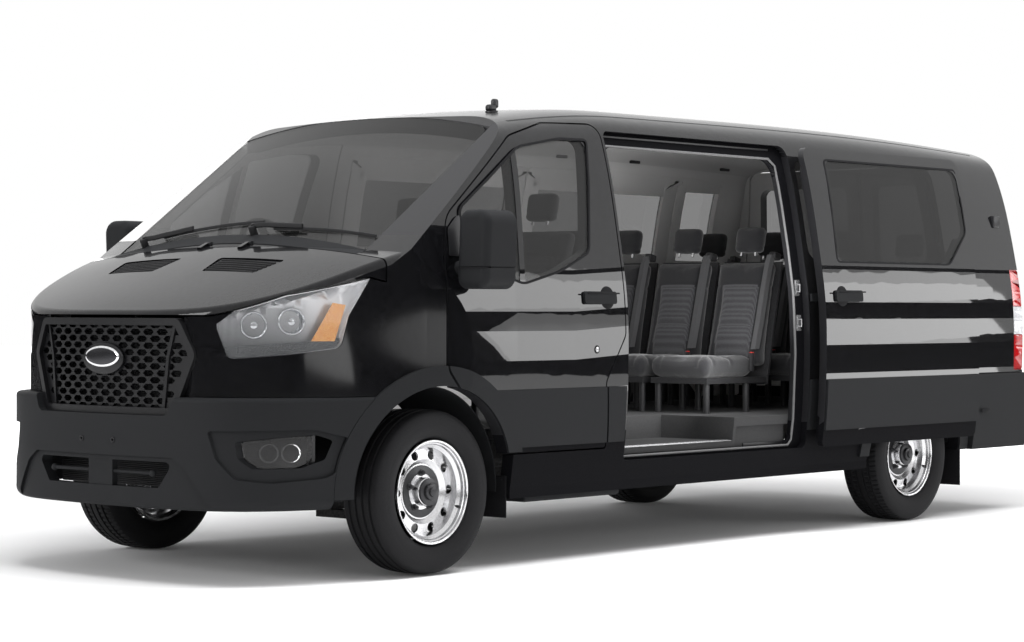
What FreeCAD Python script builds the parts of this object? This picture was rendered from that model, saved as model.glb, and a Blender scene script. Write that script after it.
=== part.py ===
import FreeCAD, Part
import os
from math import cos, pi, radians, sin, sqrt, tan
from FreeCAD import Vector

# A low-roof passenger minibus, in millimetres.
# +X points forward, +Y to the vehicle's left and +Z up, with the ground at Z = 0
# and the origin below the middle of the bounding box.

# Layout of the axles and wheels
wheelbase = 3750.0
front_axle_x = 1968.0
rear_axle_x = front_axle_x - wheelbase
hub_z = 353.0
front_track = 1732.0
rear_track = 1743.0
tyre_radius = 353.0
tyre_width = 235.0
rim_flange_radius = 220.0
steering_axis_y = 800.0

# Body skin: half width at each height, from the sill to the middle of the roof
sill_bottom_z = 300.0
skin_section = [
    (985.0, 340.0), (1016.0, 580.0), (1029.0, 900.0), (1019.0, 1190.0),
    (985.0, 1420.0), (935.0, 1700.0), (886.0, 1900.0), (846.0, 1990.0),
    (765.0, 2045.0), (560.0, 2078.0), (0.0, 2095.0),
]
belt_z = 1300.0
roof_top_z = 2095.0
# Height of the roof's middle along the body
roof_line = [
    (3100.0, 1940.0), (2200.0, 1965.0), (1450.0, 2002.0), (1000.0, 2060.0),
    (400.0, 2090.0), (-700.0, 2098.0), (-1900.0, 2086.0), (-2700.0, 2056.0), (-3100.0, 2036.0),
]

# Plan of the nose: distance forward at each half width
nose_plan = [
    (0.0, 2955.0), (200.0, 2949.0), (400.0, 2922.0), (560.0, 2874.0), (700.0, 2786.0),
    (805.0, 2672.0), (885.0, 2530.0), (945.0, 2350.0), (985.0, 2160.0), (1018.0, 1900.0),
]
# Plan of the front bumper, fuller at its corners than the nose
bumper_plan = [
    (0.0, 2991.0), (200.0, 2987.0), (400.0, 2969.0), (560.0, 2936.0), (690.0, 2872.0), (770.0, 2796.0),
    (830.0, 2706.0), (872.0, 2610.0), (905.0, 2515.0), (934.0, 2430.0), (958.0, 2350.0), (1000.0, 2150.0),
    (1032.0, 1900.0),
]
plan_join_x = 1740.0
plan_join_y = 1035.0
beyond_skin_y = 1075.0

# Bonnet surface: height of its middle along the body, and how far it falls at the crown's edge
bonnet_line = [
    (3150.0, 1020.0), (2955.0, 1112.0), (2850.0, 1162.0), (2700.0, 1228.0), (2500.0, 1312.0),
    (2300.0, 1390.0), (2100.0, 1452.0), (1700.0, 1540.0),
]
bonnet_crown = 62.0
crown_half_width = 900.0

# Windscreen: a bowed plan drawn at its foot and pulled up along a slope
screen_foot_z = 1375.0
screen_corner_x = 2190.0
screen_corner_y = 820.0
screen_bow = 120.0
screen_slope_deg = 35.3

# Tail in side view: distance back at each height
tail_line = [
    (-2868.0, 200.0), (-2872.0, 800.0), (-2870.0, 1200.0), (-2858.0, 1500.0),
    (-2835.0, 1800.0), (-2802.0, 1990.0), (-2760.0, 2150.0),
]

# Thicknesses and running gaps
wall = 62.0
bonnet_thickness = 26.0
glass = 5.0
glass_recess = 3.0
gap = 7.5
fit = 0.3
seat_gap = 0.6

# Front doors in side view
door_front_x = 1935.0
door_rear_x = 745.0
door_step_x = 885.0
door_bottom_z = 500.0
arch_radius = 450.0
arch_depth_y = 400.0
flare_width = 85.0

# Sliding door, shown open
slider_width = 1480.0
slider_front_x = 742.0
slider_bottom_z = 440.0
slider_top_z = 1945.0
slider_travel = 1490.0
slider_out = 100.0

# Doorway behind the sliding door
doorway_front_x = 722.0
doorway_rear_x = -662.0
doorway_bottom_z = 452.0
doorway_top_z = 1880.0

# Floor and platform
floor_top_z = 600.0
floor_thickness = 45.0
step_top_z = 487.0
step_front_x = 700.0
step_rear_x = -205.0
step_inner_y = 505.0

# Passenger seats
seat_width = 396.0
seat_pitch = 410.0
cushion_depth = 470.0
cushion_thickness = 110.0
cushion_top_z = 890.0
seat_back_height = 600.0
seat_back_thickness = 95.0
seat_back_lean_deg = 12.0
headrest_height = 150.0
headrest_width = 190.0
headrest_depth = 80.0
headrest_gap = 20.0
headrest_post_out = 45.0
headrest_post_radius = 7.0
seat_board = 14.0
seat_tube = 30.0
row_2_x = -380.0
row_pitch = 780.0
row_count = 3
seats_across = 3
seat_middle_y = 40.0
seat_leg_radius = 17.0

# Front seats
front_seat_x = 1290.0
front_seat_y = 430.0
front_seat_width = 500.0
front_cushion_top_z = 1010.0

# Dashboard and steering wheel, on the vehicle's right
dash_half_width = 880.0
steering_wheel_x = 1560.0
steering_wheel_y = -430.0
steering_wheel_z = 1390.0
steering_wheel_radius = 185.0
steering_rim_radius = 15.0
steering_rake_deg = 52.0

# Bumpers, grille and lamps
bumper_out = 34.0
bumper_wall = 22.0
bumper_top_z = 765.0
bumper_bottom_z = 305.0
rear_bumper_x = -2991.0
intake_top_z = 500.0
intake_bottom_z = 392.0
intake_half_width = 430.0
intake_foot_half_width = 350.0
grille_top_z = 1088.0
grille_bottom_z = 690.0
grille_half_width = 512.0
cell_pitch_y = 74.0
cell_pitch_z = 33.0
cell_web = 7.0
badge_width = 210.0
badge_height = 84.0
plate_hole_spacing = 200.0
plate_hole_z = 583.0
plate_hole_radius = 5.0

# Running gear under the floor
rail_y = 440.0
rail_width = 80.0
rail_height = 120.0
rail_front_x = 2700.0
rail_rear_x = -2760.0
cross_member_xs = (-2500.0, -1150.0, -300.0, 900.0, 1700.0, 2640.0)
cross_half = 45.0
cross_height = 80.0
cross_drop = 15.0
engine_length = 460.0
engine_front_x = 2595.0
engine_half = 300.0
engine_bottom_z = 400.0
engine_top_z = 1050.0
gearbox_rear_x = 1350.0
gearbox_half = 130.0
gearbox_bottom_z = 340.0
shaft_radius = 34.0
shaft_front_z = 395.0
brake_radius = 130.0
spring_reach = 650.0
spring_half = 35.0
subframe_half = 90.0
subframe_bottom_z = 255.0
subframe_top_z = 325.0
arm_half = 30.0
arm_thickness = 35.0
strut_radius = 26.0
strut_body_radius = 55.0
strut_body_bottom_z = 620.0
tower_half = 70.0
tower_top_z = 930.0
tower_plate = 30.0
kingpin_below = 103.0
kingpin_above = 117.0
pipe_y = -300.0
pipe_z = 330.0
pipe_radius = 30.0
silencer_radius = 80.0
axle_tube_radius = 42.0
diff_radius = 135.0
kingpin_radius = 26.0
rim_width = 180.0
rim_face_out = 38.0
wheel_hole_count = 10
wheel_hole_radius = 20.0
wheel_hole_circle = 160.0
hub_radius = 58.0
hub_bore = 26.0

# Edges, lids and small pieces of the body
bonnet_front_radius = 35.0
bonnet_rear_x = 2262.0
screen_front_x = 2200.0
screen_foot_half = 790.0
screen_top_x = 1408.0
screen_top_half = 786.0
cladding_depth = 12.0
cladding_bottom_z = 523.0
cladding_top_z = 776.0
rear_door_half = 846.0
rear_door_top_half = 772.0
rear_door_bottom_z = 640.0
rear_door_top_z = 1952.0
hinge_out = 20.0
hinge_radius = 10.0
rear_hinge_height = 90.0
rear_hinge_heights = (720.0, 1620.0)
bonnet_lug_y = 130.0
bonnet_lug_half = 12.0
bonnet_lug_room = 5.0
bonnet_lug_radius = 9.0
tail_inner_x = -2690.0
roof_half = 785.0
headlamp_inner_y = 588.0
badge_z = 927.0
badge_depth = 16.0
mirror_bottom_z = 1212.0
mirror_top_z = 1546.0
mirror_out_y = 1237.0
mirror_arm_z = 1300.0
rear_bumper_bottom_z = 360.0
rear_bumper_top_z = 628.0
rear_bumper_front_x = -2602.0
spring_y = 520.0
strut_y = 645.0
liner = 6.0
housing_inner_y = 690.0
housing_radius = 408.0
front_liner_y = 500.0
front_liner_out_y = 925.0
door_flange = 30.0
door_seal = 6.0
ditch_y = 779.0
ditch_width = 13.0
divider_top_x = 1351.0
divider_foot_x = 1436.0
divider_width = 34.0
vent_depth = 14.0
vent_outline = [(2555.0, 160.0, 14.0), (2412.0, 122.0, 14.0), (2400.0, 515.0, 14.0), (2542.0, 470.0, 14.0)]
apron_depth = 14.0
apron_outline = [
    (-650.0, 250.0), (-594.0, 351.0, 60.0), (-500.0, 478.0, 60.0), (-432.0, 520.0, 30.0),
    (432.0, 520.0, 30.0), (500.0, 478.0, 60.0), (594.0, 351.0, 60.0), (650.0, 250.0)]
scoop_outline = [
    (600.0, 632.0, 8.0), (632.0, 520.0, 60.0), (700.0, 436.0, 40.0), (800.0, 420.0, 60.0),
    (900.0, 436.0, 30.0), (938.0, 520.0, 40.0), (930.0, 600.0, 20.0), (880.0, 636.0, 20.0)]
fog_depth = 40.0
fog_outline = [
    (690.0, 590.0, 16.0), (700.0, 520.0, 20.0), (742.0, 478.0, 20.0), (846.0, 478.0, 24.0),
    (884.0, 512.0, 20.0), (896.0, 590.0, 20.0), (870.0, 614.0, 16.0)]
intake_bar_z = 452.0
intake_bar_half = 315.0
intake_bar_radius = 8.0
intake_knob_radius = 15.0
intake_bracket_half = 76.0
grille_frame_width = 30.0
grille_bar_width = 15.0
bumper_top_radius = 18.0
bumper_foot_radius = 45.0
mirror_front_x = 1932.0
mirror_rear_x = 1742.0
mirror_in_y = 1052.0
mirror_edge_radius = 34.0
rear_bumper_side_z = 774.0
rear_bumper_wrap_x = -2330.0
rear_bumper_face_x = -2902.0
step_ledge = 40.0
hinge_room = 6.0
tail_lamp_front_x = -2775.0
tail_lamp_bottom_z = 790.0
tail_lamp_top_z = 1352.0
tail_corner_y = rear_door_half + 14.0
roof_groove_width = 44.0
roof_groove_ys = (190.0, 520.0)

# Places beyond the body, for cutting through it
far = 3300.0
beyond_y = 1300.0
above_z = 2400.0
nose_rear_x = 2600.0
corner_rear_x = 2400.0


def place_side(u, v, y=0.0):
    return Vector(u, y, v)


def place_plan(u, v, z=0.0):
    return Vector(u, v, z)


def place_front(u, v, x=0.0):
    return Vector(x, u, v)


def corner_wire(corners, place):
    """Closed wire through (u, v) or (u, v, radius) corners, with arcs at the rounded ones."""
    count = len(corners)
    starts, ends, middles = [], [], []
    for index, corner in enumerate(corners):
        before = corners[index - 1]
        after = corners[(index + 1) % count]
        here = Vector(corner[0], corner[1], 0)
        back = Vector(before[0], before[1], 0).sub(here).normalize()
        ahead = Vector(after[0], after[1], 0).sub(here).normalize()
        radius = corner[2] if len(corner) > 2 else 0.0
        if radius == 0.0:
            starts.append(here)
            ends.append(here)
            middles.append(None)
            continue
        half = back.getAngle(ahead) / 2
        reach = radius / tan(half)
        toward = back.add(ahead).normalize()
        starts.append(here.add(back.multiply(reach)))
        ends.append(here.add(ahead.multiply(reach)))
        middles.append(here.add(toward.multiply(radius / sin(half) - radius)))
    edges = []
    for index in range(count):
        if middles[index] is not None:
            points = [starts[index], middles[index], ends[index]]
            arc = Part.Arc(*[place(p.x, p.y) for p in points])
            edges.append(arc.toShape())
        a = ends[index]
        b = starts[(index + 1) % count]
        if a.distanceToPoint(b) > 1e-6:
            edges.append(Part.makeLine(place(a.x, a.y), place(b.x, b.y)))
    return Part.Wire(edges)


def side_prism(corners, y_from, y_to):
    """Solid of a side-view outline between two distances from the middle."""
    face = Part.Face(corner_wire(corners, place_side))
    face.translate(Vector(0, y_from, 0))
    return face.extrude(Vector(0, y_to - y_from, 0))


def plan_prism(corners, z_from, z_to):
    """Solid of a top-view outline between two heights."""
    face = Part.Face(corner_wire(corners, place_plan))
    face.translate(Vector(0, 0, z_from))
    return face.extrude(Vector(0, 0, z_to - z_from))


def front_prism(corners, x_from, x_to):
    """Solid of a front-view outline between two distances along the body."""
    face = Part.Face(corner_wire(corners, place_front))
    face.translate(Vector(x_from, 0, 0))
    return face.extrude(Vector(x_to - x_from, 0, 0))


def box(x_from, x_to, y_from, y_to, z_from, z_to):
    return Part.makeBox(x_to - x_from, y_to - y_from, z_to - z_from, Vector(x_from, y_from, z_from))


def side_box(side, x_from, x_to, y_in, y_out, z_from, z_to):
    """Box between two distances from the middle, on the left for side 1 and the right for side -1."""
    y_from, y_to = sorted((side * y_in, side * y_out))
    return box(x_from, x_to, y_from, y_to, z_from, z_to)


def rod(start, end, radius):
    """Round bar between two points."""
    a = Vector(*start)
    b = Vector(*end)
    along = b.sub(a)
    return Part.makeCylinder(radius, along.Length, a, along)


def axle_rod(x, y_from, y_to, radius):
    """Round bar across the vehicle at an axle's height."""
    return rod((x, y_from, hub_z), (x, y_to, hub_z), radius)


def turned(profile, centre):
    """Solid turned about an axis parallel to Y from (radius, offset) points."""
    points = [Vector(centre.x + r, centre.y + s, centre.z) for r, s in profile]
    face = Part.Face(Part.makePolygon(points + points[:1]))
    return face.revolve(centre, Vector(0, 1, 0), 360)


def mirrored(shape):
    return shape.mirror(Vector(0, 0, 0), Vector(0, 1, 0))


def both_sides(shape):
    return [shape, mirrored(shape)]


def merged(shapes):
    result = shapes[0]
    if len(shapes) > 1:
        result = shapes[0].multiFuse(shapes[1:])
    return result.removeSplitter()


def spline_edge(points):
    curve = Part.BSplineCurve()
    curve.interpolate(points)
    return curve.toShape()


def inset_points(points, inset, closed_middle):
    """Points moved inward, square to the line through them, for a line drawn from a side to the middle."""
    result = []
    last = len(points) - 1
    for index, (u, v) in enumerate(points):
        a = points[max(index - 1, 0)]
        b = points[min(index + 1, last)]
        along = Vector(b[0] - a[0], b[1] - a[1], 0).normalize()
        if index == last and closed_middle:
            along = Vector(-1, 0, 0)
        result.append((u - along.y * inset, v + along.x * inset))
    return result


def height_scale(x):
    """How much of the full height above the belt the roof has at a place along the body."""
    for (x_a, z_a), (x_b, z_b) in zip(roof_line, roof_line[1:]):
        if x <= x_a and x >= x_b:
            middle = z_a + (z_b - z_a) * (x_a - x) / (x_a - x_b)
            return (middle - belt_z) / (roof_top_z - belt_z)
    return 1.0


def section_body(inset, drop_z):
    """The body's skin section carried along its length, open to nothing, with its foot at drop_z."""
    wires = []
    half = inset_points(skin_section, inset, True)
    for x, _ in roof_line:
        scale = height_scale(x)
        line = [(y, z if z < belt_z else belt_z + (z - belt_z) * scale) for y, z in half]
        left = [Vector(x, y, z) for y, z in line]
        right = [Vector(x, -y, z) for y, z in reversed(line[:-1])]
        over = spline_edge(left + right)
        foot_left = Vector(x, left[0].y, drop_z)
        foot_right = Vector(x, -left[0].y, drop_z)
        sides = [
            Part.makeLine(foot_left, left[0]),
            over,
            Part.makeLine(right[-1], foot_right),
            Part.makeLine(foot_right, foot_left),
        ]
        wires.append(Part.Wire(sides))
    return Part.makeLoft(wires, True, False)


def nose_body(inset, plan):
    """Plan of the nose pulled up, wider than the body behind the doors' front edge."""
    half = [(-v, u) for u, v in inset_points([(x, -y) for y, x in plan], -inset, False)]
    half[0] = (0.0, plan[0][1] - inset)
    left = [Vector(x, y, 0) for y, x in half]
    right = [Vector(p.x, -p.y, 0) for p in reversed(left[1:])]
    curve = spline_edge(right + left)
    tail = [
        left[-1],
        Vector(plan_join_x, plan_join_y - inset, 0),
        Vector(1500, beyond_skin_y - inset, 0),
        Vector(-far, beyond_skin_y - inset, 0),
        Vector(-far, -beyond_skin_y + inset, 0),
        Vector(1500, -beyond_skin_y + inset, 0),
        Vector(plan_join_x, -plan_join_y + inset, 0),
        right[0],
    ]
    lines = [Part.makeLine(a, b) for a, b in zip(tail, tail[1:])]
    face = Part.Face(Part.Wire([curve] + lines))
    return face.extrude(Vector(0, 0, above_z))


def bonnet_body(inset):
    """Everything below the crowned bonnet surface."""
    wires = []
    for x, middle_z in bonnet_line:
        top_z = middle_z - inset
        edge_y = beyond_skin_y + 60
        edge_z = top_z - bonnet_crown * (edge_y / crown_half_width) ** 2
        over = Part.Arc(Vector(x, -edge_y, edge_z), Vector(x, 0, top_z), Vector(x, edge_y, edge_z)).toShape()
        foot_right = Vector(x, -edge_y, 100)
        foot_left = Vector(x, edge_y, 100)
        wires.append(Part.Wire([
            Part.makeLine(foot_right, Vector(x, -edge_y, edge_z)),
            over,
            Part.makeLine(Vector(x, edge_y, edge_z), foot_left),
            Part.makeLine(foot_left, foot_right),
        ]))
    return Part.makeLoft(wires, True, False)


def cabin_body(inset):
    """Everything behind the windscreen surface."""
    slope = radians(screen_slope_deg)
    back = inset / sin(slope)
    wide = beyond_skin_y + 60
    corner_x = screen_corner_x - back
    middle_x = corner_x + screen_bow
    wide_x = middle_x - screen_bow * (wide / screen_corner_y) ** 2
    arc = Part.Arc(Vector(wide_x, -wide, 0), Vector(middle_x, 0, 0), Vector(wide_x, wide, 0)).toShape()
    lines = [
        Part.makeLine(Vector(wide_x, wide, 0), Vector(-far - 2000, wide, 0)),
        Part.makeLine(Vector(-far - 2000, wide, 0), Vector(-far - 2000, -wide, 0)),
        Part.makeLine(Vector(-far - 2000, -wide, 0), Vector(wide_x, -wide, 0)),
    ]
    face = Part.Face(Part.Wire([arc] + lines))
    foot = 1100.0
    face.translate(Vector((screen_foot_z - foot) / tan(slope), 0, foot))
    rise = 1150.0
    upper = face.extrude(Vector(-rise / tan(slope), 0, rise))
    lower = box(-far, 2000, -wide, wide, 90, foot + 1)
    return upper.fuse(lower)


def tail_body(inset):
    """Everything ahead of the tail's side-view line."""
    line = [Vector(x + inset, 0, z) for x, z in tail_line]
    curve = spline_edge(line)
    lines = [
        Part.makeLine(line[-1], Vector(far, 0, line[-1].z)),
        Part.makeLine(Vector(far, 0, line[-1].z), Vector(far, 0, line[0].z)),
        Part.makeLine(Vector(far, 0, line[0].z), line[0]),
    ]
    face = Part.Face(Part.Wire([curve] + lines))
    face.translate(Vector(0, -beyond_skin_y - 60, 0))
    return face.extrude(Vector(0, 2 * (beyond_skin_y + 60), 0))


def envelope(inset, drop_z):
    """The whole body's outer form, or the same form moved inward."""
    upper = bonnet_body(inset).fuse(cabin_body(inset))
    blank = section_body(inset, drop_z).common(nose_body(inset, nose_plan))
    return blank.common(upper).common(tail_body(inset))


def bumper_form(inset):
    """The front bumper's outer form, or the same form moved inward."""
    return section_body(inset - bumper_out, bumper_bottom_z).common(nose_body(inset, bumper_plan))


def solids_of(shapes):
    """All solids of some shapes, largest first, without slivers."""
    found = []
    for shape in shapes:
        found.extend([solid for solid in shape.Solids if solid.Volume > 2000])
    return sorted(found, key=lambda solid: -solid.Volume)


def grown(corners, amount):
    """A simple outline moved outward all round by the amount, rounded corners growing with it."""
    count = len(corners)
    area = sum(corners[i - 1][0] * corners[i][1] - corners[i][0] * corners[i - 1][1] for i in range(count))
    sign = 1.0 if area > 0 else -1.0
    result = []
    for index, corner in enumerate(corners):
        before = corners[index - 1]
        after = corners[(index + 1) % count]
        a = Vector(corner[0] - before[0], corner[1] - before[1], 0).normalize()
        b = Vector(after[0] - corner[0], after[1] - corner[1], 0).normalize()
        normal_a = Vector(a.y, -a.x, 0).multiply(sign)
        normal_b = Vector(b.y, -b.x, 0).multiply(sign)
        both = normal_a.add(normal_b)
        reach = amount / (both.Length / 2) ** 2 / 2
        u = corner[0] + both.x * reach
        v = corner[1] + both.y * reach
        turn = (a.x * b.y - a.y * b.x) * sign
        if len(corner) > 2 and corner[2] > 0:
            radius = corner[2] + (amount if turn > 0 else -amount)
            result.append((u, v, max(radius, 1.0)))
        else:
            result.append((u, v))
    return result


# The body's outer form and the same form moved in or out, for skins, glass and trim
body = envelope(0.0, sill_bottom_z).Solids[0]
front_edges = [e for e in body.Edges if e.BoundBox.XMax > 2900 and e.BoundBox.XMin > 2100]
nose_edges = [e for e in front_edges if e.BoundBox.ZMin > 900]
outer = body.makeFillet(bonnet_front_radius, nose_edges)
wall_inner = envelope(wall, 150.0)
front_inner = envelope(bonnet_thickness, 150.0)
inside = envelope(wall + fit, 150.0)
glass_outer = envelope(glass_recess, 150.0)
glass_inner = envelope(glass_recess + glass, 100.0)
trim_outer = envelope(-cladding_depth, sill_bottom_z)
skin_clear = envelope(-fit, 100.0)
bumper_outer = envelope(-bumper_out, bumper_bottom_z)
ditch_floor = glass_inner
flange_outer = envelope(door_flange, 150.0)
flange_seat = envelope(door_flange + door_seal, 150.0)


def skin(region):
    """Panel as thick as the body's wall inside a region."""
    return outer.common(region).cut(wall_inner)


def front_skin(region):
    """Thin panel of the front end inside a region."""
    return outer.common(region).cut(front_inner)


def pane(region):
    """Glass inside a region, a little behind the skin."""
    return glass_outer.common(region).cut(glass_inner)


def lamp(region):
    """Block behind the skin as deep as the body's wall."""
    return glass_outer.common(region).cut(wall_inner)


def trim(region):
    """Moulding on the skin inside a region."""
    return trim_outer.common(region).cut(skin_clear)



# Front door: outline in side view, with its glass and the arch behind the wheel
arch_foot_x = front_axle_x - sqrt(arch_radius ** 2 - (hub_z - door_bottom_z) ** 2)
arch_top_x = front_axle_x - 120.0
door_outline = [
    (door_front_x, 870.0, 60.0), (door_front_x, 1330.0, 120.0), (1890.0, 1520.0, 140.0),
    (1375.0, 1893.0, 160.0), (1110.0, 1966.0, 200.0), (door_rear_x, 1978.0, 60.0),
    (door_rear_x, 1010.0, 60.0), (door_step_x, 800.0, 60.0), (door_step_x - 18.0, door_bottom_z, 10.0),
    (arch_foot_x, door_bottom_z), (arch_top_x, 760.0),
]
window_outline = [
    (1803.0, 1345.0, 25.0), (1800.0, 1556.0, 30.0), (1352.0, 1842.0, 90.0), (1060.0, 1893.0, 90.0),
    (862.0, 1897.0, 45.0), (968.0, 1388.0, 60.0), (1180.0, 1302.0, 80.0), (1440.0, 1243.0, 120.0),
]
arch_front = axle_rod(front_axle_x, arch_depth_y, beyond_y, arch_radius)
arch_rear = axle_rod(rear_axle_x, arch_depth_y, beyond_y, arch_radius)
door_side_from = roof_half + gap
door_cut = side_prism(grown(door_outline, gap), roof_half - 60, beyond_y).fuse(
    arch_front.common(box(0, door_front_x, 0, beyond_y, 0, door_bottom_z + 400)))
door_body = skin(side_prism(door_outline, door_side_from, beyond_y)).cut(arch_front)


def divider_bar(room):
    """Upright bar between the front door's two panes, or the same with room around it."""
    rear_top = divider_top_x - room
    rear_foot = divider_foot_x - room
    width = divider_width + 2 * room
    return side_prism([
        (rear_top, 1900.0), (rear_foot, 1200.0), (rear_foot + width, 1200.0), (rear_top + width, 1900.0)],
        door_side_from, beyond_y)


divider = divider_bar(0.0)
divider_room = divider_bar(fit)
door_hole = side_prism(window_outline, door_side_from, beyond_y).cut(divider)
front_door = door_body.cut(door_hole)
door_glass = pane(side_prism(grown(window_outline, -fit), door_side_from, beyond_y).cut(divider_room))

# Doorway and sliding door, carried back by its travel
slider_rear_x = slider_front_x - slider_width
slider_outline = [
    (slider_front_x, slider_bottom_z, 30.0), (slider_front_x, slider_top_z, 60.0),
    (slider_rear_x, slider_top_z, 60.0), (slider_rear_x, slider_bottom_z, 30.0),
]
slider_window = [
    (slider_front_x - 175.0, 1885.0, 50.0), (slider_front_x - 150.0, 1372.0, 60.0),
    (slider_rear_x + 240.0, 1372.0, 60.0), (slider_rear_x + 40.0, 1550.0, 60.0),
    (slider_rear_x + 40.0, 1885.0, 60.0),
]
opened = Vector(-slider_travel, slider_out, 0)
doorway_outline = [
    (doorway_front_x, doorway_bottom_z, 60.0), (doorway_front_x, doorway_top_z, 90.0),
    (doorway_rear_x, doorway_top_z, 90.0), (doorway_rear_x, doorway_bottom_z, 60.0)]
slider_blank = skin(side_prism(slider_outline, door_side_from, beyond_y))
slider_border = flange_outer.cut(side_prism(grown(doorway_outline, -gap), door_side_from, beyond_y))
sliding_door = slider_blank.cut(side_prism(slider_window, door_side_from, beyond_y)).cut(slider_border)
sliding_glass = pane(side_prism(grown(slider_window, -fit), door_side_from, beyond_y))
sliding_trim = trim(side_prism([
    (slider_front_x - 2, cladding_bottom_z), (slider_front_x - 2, cladding_top_z),
    (slider_rear_x + 2, cladding_top_z), (slider_rear_x + 2, cladding_bottom_z)], door_side_from, beyond_y))
for piece in (sliding_door, sliding_glass, sliding_trim):
    piece.translate(opened)
doorway = side_prism(doorway_outline, door_side_from, beyond_y)
door_seat = side_prism([
    (doorway_front_x, slider_bottom_z - gap, 20.0), (doorway_front_x, slider_top_z + gap, 40.0),
    (slider_rear_x - gap, slider_top_z + gap, 60.0), (slider_rear_x - gap, slider_bottom_z - gap, 30.0)],
    door_side_from, beyond_y).cut(flange_seat)

# Side windows behind the doorway, the same on both sides, and one more over the doorway's place on the right
def side_window(front_x, rear_x):
    return [(front_x, 1885.0, 55.0), (front_x, 1385.0, 60.0), (rear_x, 1385.0, 60.0), (rear_x, 1885.0, 55.0)]


rear_windows = [side_window(-790.0, -2030.0), side_window(-2165.0, -2545.0)]
right_window = side_window(600.0, -640.0)

# Rear doors: outline in front view of the left one
rear_door_outline = [
    (gap / 2, rear_door_bottom_z), (rear_door_half, rear_door_bottom_z, 30.0),
    (rear_door_half, 1300.0, 200.0), (rear_door_top_half, rear_door_top_z, 70.0), (gap / 2, rear_door_top_z),
]
rear_window_outline = [
    (90.0, 1340.0, 50.0), (rear_door_half - 110.0, 1340.0, 50.0), (rear_door_top_half - 60.0, 1850.0, 60.0),
    (90.0, 1850.0, 50.0),
]
opening_half = rear_door_half + gap
opening_top_half = rear_door_top_half + gap
rear_opening = front_prism([
    (-opening_half, rear_door_bottom_z - gap, 30.0), (opening_half, rear_door_bottom_z - gap, 30.0),
    (opening_half, 1300.0, 200.0), (opening_top_half, rear_door_top_z + gap, 70.0),
    (-opening_top_half, rear_door_top_z + gap, 70.0), (-opening_half, 1300.0, 200.0),
], -far, tail_inner_x)
meeting_edge = plan_prism([
    (tail_line[1][0] - 20, -50.0), (tail_line[1][0] - 20, gap / 2 - 2), (tail_inner_x, gap / 2 + 16),
    (tail_inner_x, -50.0)], 0, above_z)
rear_door = skin(front_prism(rear_door_outline, -far, tail_inner_x)).cut(
    front_prism(rear_window_outline, -far, tail_inner_x)).cut(meeting_edge)
rear_glass = pane(front_prism(grown(rear_window_outline, -fit), -far, tail_inner_x))

# Rear door hinges, standing off the corner so that the doors fold right back
hinge_x = tail_line[1][0] - hinge_out
hinge_y = rear_door_half + 4.0
hinge_leaf = 60.0


def hinge(axis, height, radius, door_leaf, wall_leaf):
    """Barrel in three knuckles about an upright axis, the middle one on the door's leaf."""
    x, y = axis
    half = height / 2
    middle = rod((x, y, -half / 2 + fit / 2), (x, y, half / 2 - fit / 2), radius)
    leaf = box(*door_leaf, -half / 2 + fit / 2, half / 2 - fit / 2)
    ends, plates = [], []
    for low, high in ((-half, -half / 2 - fit / 2), (half / 2 + fit / 2, half)):
        ends.append(rod((x, y, low), (x, y, high), radius))
        plates.append(box(*wall_leaf, low, high))
    return merged([middle, leaf]), merged(ends), plates


hinge_door_parts, hinge_wall_parts = [], []
for z in rear_hinge_heights:
    door_part, wall_ends, wall_plates = hinge(
        (hinge_x, hinge_y), rear_hinge_height, hinge_radius,
        (hinge_x - 4, tail_line[1][0] + 60, hinge_y - hinge_leaf, hinge_y - 2),
        (hinge_x - 4, tail_line[1][0] + 60, hinge_y + 2, hinge_y + 34))
    door_part.translate(Vector(0, 0, z))
    hinge_door_parts.append(door_part)
    for piece in [wall_ends.fuse(plate) for plate in wall_plates]:
        piece.translate(Vector(0, 0, z))
        hinge_wall_parts.append(piece)
hinge_doors = merged(hinge_door_parts).cut(outer)
hinge_walls = merged(hinge_wall_parts).cut(outer)

# Lamps: outlines in side view at the front, a tall corner block at the tail
headlamp_outline = [
    (2862.0, 1062.0), (2822.0, 1116.0, 30.0), (2672.0, 1180.0, 120.0), (2442.0, 1228.0, 120.0),
    (2336.0, 1252.0), (2432.0, 1099.0, 60.0), (2466.0, 968.0, 40.0), (2670.0, 940.0, 120.0),
    (2836.0, 922.0, 20.0),
]
headlamp = lamp(side_prism(headlamp_outline, headlamp_inner_y, beyond_y))
headlamp_cut = side_prism(grown(headlamp_outline, seat_gap), headlamp_inner_y - seat_gap, beyond_y)


def tail_lamp_box(room):
    """Region of the left tail lamp, or the same with room around it."""
    return box(-far, tail_lamp_front_x + room, tail_corner_y - room, beyond_y,
               tail_lamp_bottom_z - room, tail_lamp_top_z + room)


tail_lamp = lamp(tail_lamp_box(0.0))
tail_lamp_cut = tail_lamp_box(seat_gap)

# Bonnet: everything of the front above a line from the scuttle over the lamps to the lip
bonnet_foot = [
    (bonnet_rear_x, 1244.0), (2336.0, 1260.0), (2442.0, 1236.0), (2672.0, 1188.0), (2822.0, 1124.0),
    (2868.0, grille_top_z + 14.0), (3100.0, grille_top_z + 14.0),
]
bonnet_outline = bonnet_foot + [(3100.0, 1700.0), (bonnet_rear_x, 1700.0)]
bonnet_cut_outline = grown(bonnet_outline, gap)
bonnet = front_skin(side_prism(bonnet_outline, -beyond_y, beyond_y))

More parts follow.
